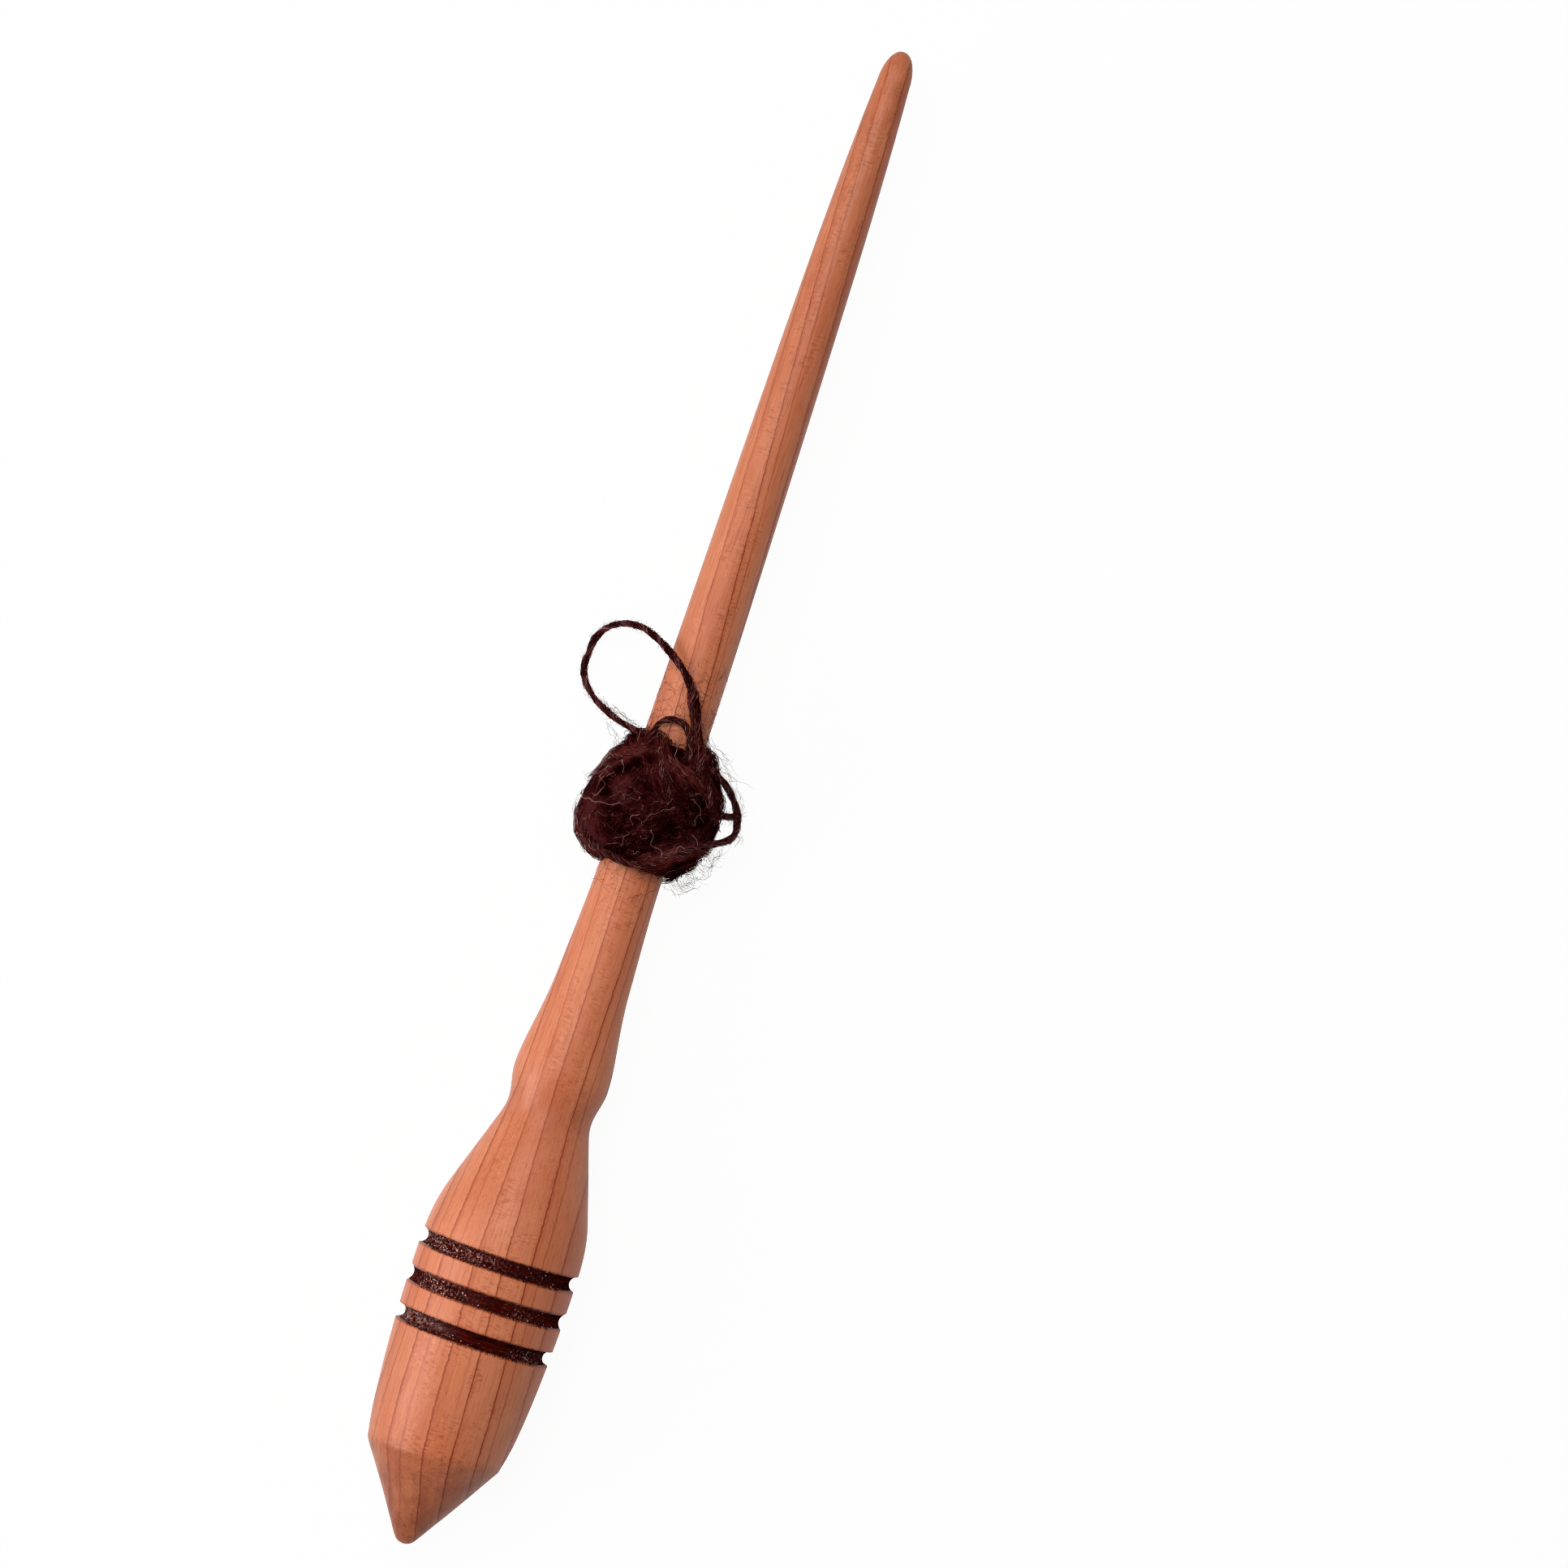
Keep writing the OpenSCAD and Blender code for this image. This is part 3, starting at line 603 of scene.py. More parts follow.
def makeStudio():
    makeLamp("keyWindow", **studio["key"])
    makeLamp("sideWindow", **studio["side"])
    makeLamp("sheenWindow", lights=False, **studio["sheen"])
    world = bpy.data.worlds.new("whiteStudio")
    world.use_nodes = True
    tree = world.node_tree
    tree.nodes.clear()
    ray = addNode(tree, "ShaderNodeLightPath")
    seen = addNode(tree, "ShaderNodeMath", {0: ray.outputs["Is Camera Ray"], 1: ray.outputs["Is Glossy Ray"]},
                   operation="MAXIMUM")
    all3 = addNode(tree, "ShaderNodeMath", {0: seen, 1: ray.outputs["Is Transmission Ray"]}, operation="MAXIMUM")
    strength = addNode(tree, "ShaderNodeMapRange", {0: all3, 1: 0.0, 2: 1.0, 3: studio["skyStrength"], 4: 1.0})
    back = addNode(tree, "ShaderNodeBackground", {"Color": toLinear("#FFFFFF"), "Strength": strength})
    addNode(tree, "ShaderNodeOutputWorld", {"Surface": back})
    scene.world = world
    # floor: white paper; the camera sees it nearly as bright as the background, with a faint shadow
    mesh = bpy.data.meshes.new("whiteTable")
    mesh.from_pydata([(-3, -3, 0), (3, -3, 0), (3, 3, 0), (-3, 3, 0)], [], [(0, 1, 2, 3)])
    floor = bpy.data.objects.new("whiteTable", mesh)
    scene.collection.objects.link(floor)
    material, tree = newMaterial("whiteTablePaper")
    ray = addNode(tree, "ShaderNodeLightPath")
    seen = addNode(tree, "ShaderNodeMath", {0: ray.outputs["Is Camera Ray"], 1: 0.955}, operation="MULTIPLY")
    paper = addNode(tree, "ShaderNodeBsdfDiffuse", {"Color": toLinear("#F4F4F4")})
    glow = addNode(tree, "ShaderNodeEmission", {"Color": toLinear("#FFFFFF"), "Strength": 1.0})
    mix = addNode(tree, "ShaderNodeMixShader", {"Fac": seen, 1: paper, 2: glow})
    addNode(tree, "ShaderNodeOutputMaterial", {"Surface": mix})
    mesh.materials.append(material)


makeStudio()


# The turned spindle
spindle = dict(
    sides=160,
    ringStep=1.0,          # mm between rings of the mesh on plain stretches
    grooveStep=0.1,        # mm between rings in and beside the grooves
    grooves=[(42.2, 1.5), (49.7, 0.9), (57.2, 1.3)],  # mm from the tip, depth
    grooveWidth=3.0,
    rimRound=0.34,         # mm of softness on the rims
    # pale dust in the grooves, heaviest on the left where the light falls, so partly painted light, and rubbed
    # stretches: mm from the tip, mm to the right, reach across, strength
    dusty=[(57.2, -10, 5, 1.0), (49.7, -9, 4, 0.9), (42.2, -12, 4, 1.0), (42.2, -7, 2.5, 0.2), (57.2, -2, 3, 0.6),
           (57.2, 9.5, 3, 0.12), (49.7, 8, 3.5, 0.22), (42.2, 11, 3, 0.4)],
    rubbed=[(42.2, -6.5, 3.5, 1.0), (49.7, -2, 3, 0.5), (57.2, 5, 2.5, 0.5)],
    # how far the wood is off a straight line, to the right: (mm from the tip, mm)
    bow=[(0, -0.38), (15, -0.38), (22, -0.3), (30, -0.24), (57, -0.28), (66, -0.14), (75, -0.08), (100, 0), (185, 0),
         (215, -0.12), (245, -0.23), (275, -0.34), (300, -0.37)],
    # the ridge above the cone leans: mm it lies further from the tip on the right
    ridgeLean=0.6,
    # growth-ring lines: for each line, (mm from the tip, mm to the right of the axis)
    ringLines=[
        [(0, -12), (25, -14), (60, -14), (90, -11), (130, -9.5), (300, -16)],
        [(0, -3), (10, -5.8), (19, -8.9), (30, -9.8), (57, -10.3), (75, -8.9), (90, -7.4), (130, -6.6), (190, -8),
         (300, -12)],
        [(0, 2.2), (10, 0.3), (19, -1.7), (28, -2.6), (57, -3.9), (85, -3.6), (130, -4.3), (190, -6.4), (300, -8)],
        [(0, 5.6), (10, 4.7), (19, 3.8), (37, 2.8), (57, 1.5), (85, -0.1), (130, -0.8), (158, -1.3), (178, -1.9),
         (190, -2.6), (300, -5.4)],
        [(0, 9), (19, 8.7), (37, 7.7), (57, 6.5), (85, 4.6), (130, 4.2), (160, 3.4), (178, 2.6), (190, 1.7),
         (244, -1.6), (262, -2.6), (300, -4)],
        [(0, 13), (30, 13.4), (57, 12.4), (73, 11.3), (90, 9.4), (130, 7.8), (196, 5.1), (244, 3.7), (300, 1.8)],
        [(0, 18), (60, 17), (130, 12), (200, 9.6), (300, 5.5)],
    ],
    # how strong each line is: (mm from the tip, strength)
    ringStrength=[
        [(0, 0.6)], [(10, 0.4), (27, 0.75), (75, 0.7)], [(0, 0.8), (50, 0.7), (80, 0.6), (95, 0.35), (130, 0.4)],
        [(0, 1.0), (40, 1.0), (60, 0.85), (75, 0.7), (140, 0.7), (167, 0.9), (180, 0.7), (200, 0.5), (300, 0.4)],
        [(0, 0.7), (25, 1.1), (45, 1.05), (80, 0.95), (205, 1.0), (240, 0.85), (265, 0.7), (300, 0.6)],
        [(0, 0.7)], [(0, 0.6)],
    ],
    # darker, browner stretches: partly wear from handling, partly painted shade where less light falls, on the cone, in
    # the neck's hollow and towards the shaft's end: (mm from the tip, strength)
    handled=[(0, 1.0), (14, 0.75), (18, 0.6), (20, 0.1), (60, 0.0), (82, 0.05), (88, 0.3), (92, 0.1), (96, 0.0),
             (150, 0.0), (165, 0.2), (200, 0.14), (240, 0.24), (275, 0.36), (292, 0.45), (300, 0.35)],
)


def cadOutline():
    # the CAD node's outline as place and radius in mm, without the grooves
    radii = {}
    for vertex in cadNodes["turned_spindle"].data.vertices:
        place = round((vertex.co.x - tipX) / mm, 3)
        radius = math.hypot(vertex.co.y, vertex.co.z - axisZ) / mm
        radii[place] = max(radius, radii.get(place, 0))
    reach = spindle["grooveWidth"] / 2 + 0.25
    return [(x, r) for x, r in sorted(radii.items()) if all(abs(x - g) > reach for g, depth in spindle["grooves"])]


def smoothRadius(places, outline):
    # cubic curve through the outline's points, with no overshoot
    xs = np.array([p[0] for p in outline])
    rs = np.array([p[1] for p in outline])
    steps = np.diff(xs)
    rises = np.diff(rs) / steps
    slopes = np.zeros(len(xs))
    slopes[0], slopes[-1] = rises[0], rises[-1]
    for i in range(1, len(xs) - 1):
        if rises[i - 1] * rises[i] > 0:
            a = 2 * steps[i] + steps[i - 1]
            b = steps[i] + 2 * steps[i - 1]
            slopes[i] = (a + b) / (a / rises[i - 1] + b / rises[i])
    k = np.clip(np.searchsorted(xs, places, side="right") - 1, 0, len(xs) - 2)
    w = xs[k + 1] - xs[k]
    t = (places - xs[k]) / w
    return ((2 * t ** 3 - 3 * t ** 2 + 1) * rs[k] + (t ** 3 - 2 * t ** 2 + t) * w * slopes[k]
            + (3 * t ** 2 - 2 * t ** 3) * rs[k + 1] + (t ** 3 - t ** 2) * w * slopes[k + 1])


def grooveDistance(places):
    # mm from the nearest groove's rim, negative inside it
    half = spindle["grooveWidth"] / 2
    return np.min([np.abs(places - g) - half for g, depth in spindle["grooves"]], axis=0)


def turnedOutline():
    outline = cadOutline()
    end = outline[-1][0]
    fine = [g + k * spindle["grooveStep"] for g, depth in spindle["grooves"] for k in range(-24, 25)]
    tip = list(2.4 * (1 - np.cos(np.linspace(0, math.pi / 2, 14))))
    back = list(end - 6.8 * (1 - np.sin(np.linspace(0, math.pi / 2, 22))))
    ridge = list(np.arange(16.4, 20.8, 0.2))
    plain = [x for x in np.arange(2.6, end - 7, spindle["ringStep"]) if all(abs(x - f) > 0.3 for f in fine + ridge)]
    places = np.array(sorted(set(np.round(fine + tip + back + ridge + plain, 4))))
    radius = smoothRadius(places, outline)
    soft = spindle["rimRound"]
    for g, depth in spindle["grooves"]:
        cove = (spindle["grooveWidth"] ** 2 / 4 + depth ** 2) / (2 * depth)
        floor = smoothRadius(np.array([g]), outline)[0] - depth + cove
        reach = np.abs(places - g) < cove
        dip = np.full(len(places), 1e3)
        dip[reach] = floor - np.sqrt(cove ** 2 - (places[reach] - g) ** 2)
        # the two curves meet in a small round rim
        gap = np.clip((radius - dip) / soft, -40, 40)
        radius = radius - soft * np.log1p(np.exp(gap)) * (gap > -39)
    radius[0] = radius[-1] = 0
    return places, radius


def ringAge(place, side):
    # counts growth rings across the wood: whole numbers fall on the ring lines. Also how strong the lines are there
    lines = [np.interp(place, *zip(*line)) for line in spindle["ringLines"]]
    lines = [lines[0] - 10, lines[0] - 5] + lines + [lines[-1] + 5, lines[-1] + 10]
    strong = [np.interp(place, *zip(*line)) for line in spindle["ringStrength"]]
    ages = np.interp(side, lines, np.arange(len(lines)))
    return ages, np.interp(ages, np.arange(len(lines)), [0.6, 0.6] + strong + [0.6, 0.6])


def makeTurningTree():
    # turns an outline, given as a line of points in mesh form, round the X axis
    tree = newTree("turning", [("Sides", "Int", 96), ("Axis Height", "Float", 0.0), ("Material", "Material", None)])
    given = addNode(tree, "NodeGroupInput").outputs
    # a tube of the right mesh: each outline point carries one ring
    count = addNode(tree, "GeometryNodeAttributeDomainSize", {"Geometry": given["Geometry"]}, component="MESH")
    line = addNode(tree, "GeometryNodeMeshLine", {"Count": count.outputs["Point Count"], "Offset": (1, 0, 0)},
                   mode="OFFSET")
    spine = addNode(tree, "GeometryNodeMeshToCurve", {"Mesh": line})
    circle = addNode(tree, "GeometryNodeCurvePrimitiveCircle", {"Resolution": given["Sides"], "Radius": 1.0},
                     mode="RADIUS")
    tube = addNode(tree, "GeometryNodeCurveToMesh", {"Curve": spine, "Profile Curve": circle, "Fill Caps": False})
    place = addNode(tree, "ShaderNodeSeparateXYZ", {0: addNode(tree, "GeometryNodeInputPosition")})
    number = addNode(tree, "FunctionNodeFloatToInt", {0: place.outputs["X"]}, rounding_mode="ROUND")
    source = addNode(tree, "GeometryNodeSampleIndex",
                     {"Geometry": given["Geometry"], "Value": addNode(tree, "GeometryNodeInputPosition"),
                      "Index": number}, data_type="FLOAT_VECTOR", domain="POINT")
    shape = addNode(tree, "ShaderNodeSeparateXYZ", {0: source})
    y = addNode(tree, "ShaderNodeMath", {0: place.outputs["Y"], 1: shape.outputs["Y"]}, operation="MULTIPLY")
    z = addNode(tree, "ShaderNodeMath",
                {0: place.outputs["Z"], 1: shape.outputs["Y"], 2: given["Axis Height"]}, operation="MULTIPLY_ADD")
    spot = addNode(tree, "ShaderNodeCombineXYZ", {0: shape.outputs["X"], 1: y, 2: z})
    turned = addNode(tree, "GeometryNodeSetPosition", {"Geometry": tube, "Position": spot})
    closed = addNode(tree, "GeometryNodeMergeByDistance", {"Geometry": turned, "Distance": 0.0005 * mm})
    smooth = addNode(tree, "GeometryNodeSetShadeSmooth", {"Geometry": closed})
    real = addNode(tree, "GeometryNodeRealizeInstances", {"Geometry": smooth})
    done = addNode(tree, "GeometryNodeSetMaterial", {"Geometry": real, "Material": given["Material"]})
    addNode(tree, "NodeGroupOutput", {"Geometry": done})
    return tree


# Pear or cherry wood, lathe turned and oiled: satin and reddish, with thin dark growth-ring lines.
# The grooves are burnt: purple-black char, matt with rubbed glossy stretches, and a scorched ragged rim
fruitwood = dict(
    # colours from one ring line to the next
    ring=[(0.0, "#CC7852"), (0.2, "#CF7C56"), (0.6, "#D17F59"), (1.0, "#D3825C")],
    burnt="#2A0F0C",
    # noise: mm from blotch to blotch along the grain, across it and through it; detail; shift
    fields=dict(
        wobble=((30, 7, 7), 2, 0), jag=((0.8, 1.2, 1.2), 2, 0), lineFade=((9, 30, 30), 2, 9),
        pores=((4.5, 0.15, 0.15), 2, 3), streaks=((14, 0.5, 0.5), 2, 12), fleck=((0.42, 1.5, 0.8), 2, 5),
        fleckPatch=((9, 4, 20), 2, 7), slow=((38, 8, 8), 2, 1), blush=((22, 11, 11), 2, 15),
        grime=((4, 3, 3), 3, 2), bristle=((0.5, 0.14, 0.14), 3, 4), satin=((0.5, 0.35, 0.35), 2, 8),
    ),
    # masks: what they read, its values at the two ends, and what those become
    masks=dict(
        lineAfter=("within", 0.0, 0.06, 1.0, 0.0), lineBefore=("within", 0.965, 1.0, 0.0, 1.0),
        faintFrom=("within", 0.33, 0.37, 0.0, 1.0), faintTo=("within", 0.37, 0.42, 1.0, 0.0),
        faintOwn=("chance", 0.5, 0.9, 0.0, 1.0),
        lineDepth=("lineFade", 0.32, 0.54, 0.75, 1.0),
        dusk=("within", 0.0, 0.22, 1.0, 0.0), band=("bands", 0.45, 0.8, 0.0, 1.0), pore=("pores", 0.55, 0.74, 0.0, 1.0),
        streak=("streaks", 0.48, 0.72, 0.0, 1.0), upper=("facing", 0.6, 0.95, 0.0, 1.0),
        fleckPlace=("fleckPatch", 0.44, 0.6, 0.0, 1.0), darkFleck=("fleck", 0.53, 0.68, 0.0, 1.0),
        paleFleck=("fleck", 0.46, 0.3, 0.0, 1.0), slowTone=("slow", 0.4, 0.66, 0.0, 1.0),
        blushTone=("blush", 0.45, 0.7, 0.0, 1.0), dirt=("grime", 0.3, 0.7, 0.5, 1.0),
        scorch=("ragged", 0.0, 0.6, 1.0, 0.0), charred=("ragged", -0.05, 0.03, 1.0, 0.0),
    ),
    # layers of colour from the bare wood up: the masks that are multiplied, strength, blend, colour
    layers=[
        (["dusk"], 0.28, "MULTIPLY", "#D3A88C"),
        (["band"], 0.4, "MULTIPLY", "#E2C0AA"),
        (["slowTone"], 0.4, "MULTIPLY", "#E6C2A8"),
        (["blushTone"], 0.35, "MIX", "#C2643F"),
        (["streak"], 0.3, "MULTIPLY", "#D2A68C"),
        (["pore"], 0.5, "MULTIPLY", "#CB9A80"),
        # pores darken more along the stretches of wear and painted shade
        (["pore", "handled"], 0.8, "MULTIPLY", "#B58468"),
        (["fleckPlace", "upper", "darkFleck"], 0.45, "MULTIPLY", "#C28E6C"),
        (["fleckPlace", "upper", "paleFleck"], 0.3, "MIX", "#DE9670"),
        (["faintFrom", "faintTo", "faintOwn", "lineDepth"], 0.5, "MULTIPLY", "#B07A58"),
        (["lineAfter", "lineDepth", "lineStrength"], 1.0, "MULTIPLY", "#AC6C44"),
        (["lineBefore", "lineDepth", "lineStrength"], 1.0, "MULTIPLY", "#AC6C44"),
        # handling wear and painted shade, in patches: the cone, the neck's hollow and the shaft's end darker
        (["handled", "dirt"], 1.0, "MULTIPLY", "#B2A69A"),
        (["scorch"], 0.8, "MULTIPLY", "#C08A50"),
    ],
    roughness=0.42, specular=0.2, sheen=0.12,
)


def makeWood():
    material, tree = newMaterial("oiledFruitwood")
    coords = addNode(tree, "ShaderNodeTexCoord")
    place = addNode(tree, "ShaderNodeVectorMath", {0: coords.outputs["Object"], "Scale": 1000.0}, operation="SCALE")
    source = {}
    for name, (lengths, detail, shift) in fruitwood["fields"].items():
        scaled = addNode(tree, "ShaderNodeMapping", {"Vector": place, "Location": (shift, shift, shift),
                                                     "Scale": tuple(1 / size for size in lengths)})
        source[name] = addNode(tree, "ShaderNodeTexNoise", {"Vector": scaled, "Scale": 1.0, "Detail": float(detail)})
    for name in ("ringAge", "handled", "rimDistance", "lineStrength"):
        attribute = addNode(tree, "ShaderNodeAttribute", attribute_type="GEOMETRY", attribute_name=name)
        source[name] = attribute.outputs["Fac"]
    # growth rings: the whole part counts the rings, and the rest is the place within one
    wobble = addNode(tree, "ShaderNodeMapRange", {0: source["wobble"], 1: 0.3, 2: 0.7, 3: -0.026, 4: 0.026})
    jag = addNode(tree, "ShaderNodeMapRange", {0: source["jag"], 1: 0.3, 2: 0.7, 3: -0.016, 4: 0.016})
    bent = addNode(tree, "ShaderNodeMath", {0: source["ringAge"], 1: wobble}, operation="ADD")
    shaken = addNode(tree, "ShaderNodeMath", {0: bent, 1: jag}, operation="ADD")
    number = addNode(tree, "ShaderNodeMath", {0: shaken}, operation="FLOOR")
    source["within"] = addNode(tree, "ShaderNodeMath", {0: shaken}, operation="FRACT")
    source["chance"] = addNode(tree, "ShaderNodeTexWhiteNoise", {"W": number}, noise_dimensions="1D")
    source["bands"] = addNode(tree, "ShaderNodeTexNoise",
                              {"W": addNode(tree, "ShaderNodeMath", {0: shaken, 1: 9.0}, operation="MULTIPLY"),
                               "Scale": 1.0, "Detail": 3.0}, noise_dimensions="1D")
    normal = addNode(tree, "ShaderNodeSeparateXYZ", {0: addNode(tree, "ShaderNodeNewGeometry").outputs["Normal"]})
    source["facing"] = addNode(tree, "ShaderNodeMath", {0: normal.outputs["Z"]}, operation="ABSOLUTE")
    bristle = addNode(tree, "ShaderNodeMapRange", {0: source["bristle"], 1: 0.3, 2: 0.72, 3: -0.28, 4: 0.16})
    source["ragged"] = addNode(tree, "ShaderNodeMath", {0: source["rimDistance"], 1: bristle}, operation="SUBTRACT")
    masks = dict(handled=source["handled"], lineStrength=source["lineStrength"])
    for name, (field, low, high, first, last) in fruitwood["masks"].items():
        masks[name] = addNode(tree, "ShaderNodeMapRange", {0: source[field], 1: low, 2: high, 3: first, 4: last},
                              interpolation_type="SMOOTHSTEP")
    colour = setRamp(addNode(tree, "ShaderNodeValToRGB", {"Fac": source["within"]}), fruitwood["ring"])
    for names, strength, blend, tone in fruitwood["layers"]:
        amount = strength
        for name in names:
            amount = addNode(tree, "ShaderNodeMath", {0: masks[name], 1: amount}, operation="MULTIPLY")
        colour = addNode(tree, "ShaderNodeMix", {"Factor": amount, "A": colour, "B": toLinear(tone)},
                         data_type="RGBA", blend_type=blend)
    colour = addNode(tree, "ShaderNodeMix",
                     {"Factor": masks["charred"], "A": colour, "B": toLinear(fruitwood["burnt"])}, data_type="RGBA")
    # relief in 0.06 mm steps: pores and ring lines sink
    relief = 0.0
    for field, height in ((masks["pore"], -0.5), (masks["lineAfter"], -0.15), (source["satin"], 0.3)):
        relief = addNode(tree, "ShaderNodeMath", {0: field, 1: height, 2: relief}, operation="MULTIPLY_ADD")
    bump = addNode(tree, "ShaderNodeBump", {"Height": relief, "Strength": 0.5, "Distance": 0.00006})
    shader = addNode(tree, "ShaderNodeBsdfPrincipled",
                     {"Base Color": colour, "Roughness": fruitwood["roughness"], "Normal": bump, "IOR": 1.5,
                      "Specular IOR Level": fruitwood["specular"], "Sheen Weight": fruitwood["sheen"],
                      "Sheen Roughness": 0.4})
    addNode(tree, "ShaderNodeOutputMaterial", {"Surface": shader})
    return material


# Charred wood in the grooves: purple-black, under pale dust that is laid on most where the light falls, so partly
# painted light; gritty where it is burnt and glossy where it was rubbed
char = dict(
    ramp=[(0.3, "#1E0302"), (0.55, "#3C0A05"), (0.8, "#581710")],
    dust="#946A64",
    fields=dict(patch=((0.45, 3.0, 3.0), 3, 0), dust=((0.5, 0.5, 0.5), 2, 3), grit=((0.3, 0.3, 0.3), 3, 6)),
    roughness=(0.34, 0.8), specular=(0.07, 0.0),  # rubbed, burnt
)


def makeChar():
    material, tree = newMaterial("charredGroove")
    coords = addNode(tree, "ShaderNodeTexCoord")
    place = addNode(tree, "ShaderNodeVectorMath", {0: coords.outputs["Object"], "Scale": 1000.0}, operation="SCALE")
    source = {}
    for name, (lengths, detail, shift) in char["fields"].items():
        scaled = addNode(tree, "ShaderNodeMapping", {"Vector": place, "Location": (shift, shift, shift),
                                                     "Scale": tuple(1 / size for size in lengths)})
        source[name] = addNode(tree, "ShaderNodeTexNoise", {"Vector": scaled, "Scale": 1.0, "Detail": float(detail)})
    burnt = setRamp(addNode(tree, "ShaderNodeValToRGB", {"Fac": source["patch"]}), char["ramp"])
    for name in ("dusty", "rubbed"):
        source[name] = addNode(tree, "ShaderNodeAttribute", attribute_type="GEOMETRY", attribute_name=name)
    # pale specks of dust, laid on most on the lit left of each groove: partly real dust, partly painted light
    specks = addNode(tree, "ShaderNodeMapRange", {0: source["dust"], 1: 0.5, 2: 0.68, 3: 0.0, 4: 1.0})
    coat = addNode(tree, "ShaderNodeMath", {0: specks, 1: source["dusty"].outputs["Fac"]}, operation="MULTIPLY")
    colour = addNode(tree, "ShaderNodeMix", {"Factor": coat, "A": burnt, "B": toLinear(char["dust"])},
                     data_type="RGBA")
    worn = [addNode(tree, "ShaderNodeMapRange", {0: source["rubbed"].outputs["Fac"], 3: high, 4: low})
            for low, high in (char["roughness"], char["specular"])]
    bump = addNode(tree, "ShaderNodeBump", {"Height": source["grit"], "Strength": 0.5, "Distance": 0.00012})
    shader = addNode(tree, "ShaderNodeBsdfPrincipled",
                     {"Base Color": colour, "Roughness": worn[0], "Normal": bump, "Specular IOR Level": worn[1]})
    addNode(tree, "ShaderNodeOutputMaterial", {"Surface": shader})
    return material


def makeSpindle():
    places, radius = turnedOutline()
    line = bpy.data.meshes.new("outline")
    line.from_pydata([(tipX + x * mm, r * mm, 0) for x, r in zip(places, radius)],
                     [(i, i + 1) for i in range(len(places) - 1)], [])
    outline = bpy.data.objects.new("outline", line)
    scene.collection.objects.link(outline)
    piece = runTree(outline, makeTurningTree(), "spindleWood", sides=spindle["sides"], axisHeight=axisZ,
                    material=makeWood())
    bpy.data.objects.remove(outline)
    mesh = piece.data
    shape = bmesh.new()
    shape.from_mesh(mesh)
    bmesh.ops.recalc_face_normals(shape, faces=shape.faces)
    shape.to_mesh(mesh)
    shape.free()
    co = pointsOf(mesh)
    along = (co[:, 0] - tipX) / mm
    side = -co[:, 1] / mm
    ages, strong = np.empty(len(along)), np.empty(len(along))
    for place in np.unique(np.round(along, 3)):
        here = np.abs(along - place) < 6e-4
        ages[here], strong[here] = ringAge(place, side[here])
    addAttribute(mesh, "ringAge", ages)
    addAttribute(mesh, "lineStrength", strong)
    mesh.materials.append(makeChar())
    inGroove = grooveDistance(along) < -0.1
    for polygon in mesh.polygons:
        polygon.material_index = int(all(inGroove[v] for v in polygon.vertices))
    addAttribute(mesh, "rimDistance", grooveDistance(along))
    # wear and painted shade along the wood, from the list above
    addAttribute(mesh, "handled", np.interp(along, *zip(*spindle["handled"])))
    # the pale dust, partly painted light on the lit left, and the rubbed stretches, from the lists above
    for name in ("dusty", "rubbed"):
        spread = np.full(len(along), 0.03 if name == "dusty" else 0.0)
        for place, right, reach, strength in spindle[name]:
            spread += strength * np.exp(-((side - right) / reach) ** 2) * (np.abs(along - place) < 2)
        addAttribute(mesh, name, np.clip(spread, 0, 1))
    # last the small faults in the form
    lean = spindle["ridgeLean"] * np.clip(1 - np.abs(along - 17) / 9, 0, 1)
    co[:, 0] += lean * side / 12.5 * mm
    co[:, 1] -= np.interp(along, *zip(*spindle["bow"])) * mm
    mesh.vertices.foreach_set("co", co.ravel())
    mesh.update()
    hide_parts("turned_spindle")
    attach(piece, "spindle")
    return piece


spindleWood = makeSpindle()
print("spindle turned,", len(spindleWood.data.polygons), "faces")


def patchOf(source, name, keep):
    # a copy of the part of a mesh where keep is true, for fibres to grow on
    mesh = source.data.copy()
    shape = bmesh.new()
    shape.from_mesh(mesh)
    shape.verts.ensure_lookup_table()
    bmesh.ops.delete(shape, geom=[v for v in shape.verts if not keep[v.index]], context="VERTS")
    shape.to_mesh(mesh)
    shape.free()
    mesh.materials.clear()
    patch = bpy.data.objects.new(name, mesh)
    scene.collection.objects.link(patch)
    return patch


# Fuzz of the grooves: burnt wood fibres that stand out at the rims, and pale lint that lies in the coves
grooveFuzz = dict(
    rimWidth=0.22,      # mm each side of a rim where burnt fibres are rooted
    bristle=dict(density=8e6, length=0.85 * mm, thickness=0.1 * mm, spread=0.7, lift=0.1, cling=0.8,
                 height=0.24 * mm, root=0.35, curl=0.25 * mm, curlScale=2500.0, points=5, seed=61),
    hair=dict(density=0.11e6, length=1.2 * mm, thickness=0.1 * mm, spread=3.1, lift=0.7, cling=0.2,
              height=0.3 * mm, root=0.2, curl=0.9 * mm, curlScale=1300.0, points=7, pale=0.3, seed=62),
    specks=dict(density=7.0e6, size=0.14 * mm, seed=63),
    crumbs=dict(density=1.0e6, size=0.24 * mm, seed=64),
)


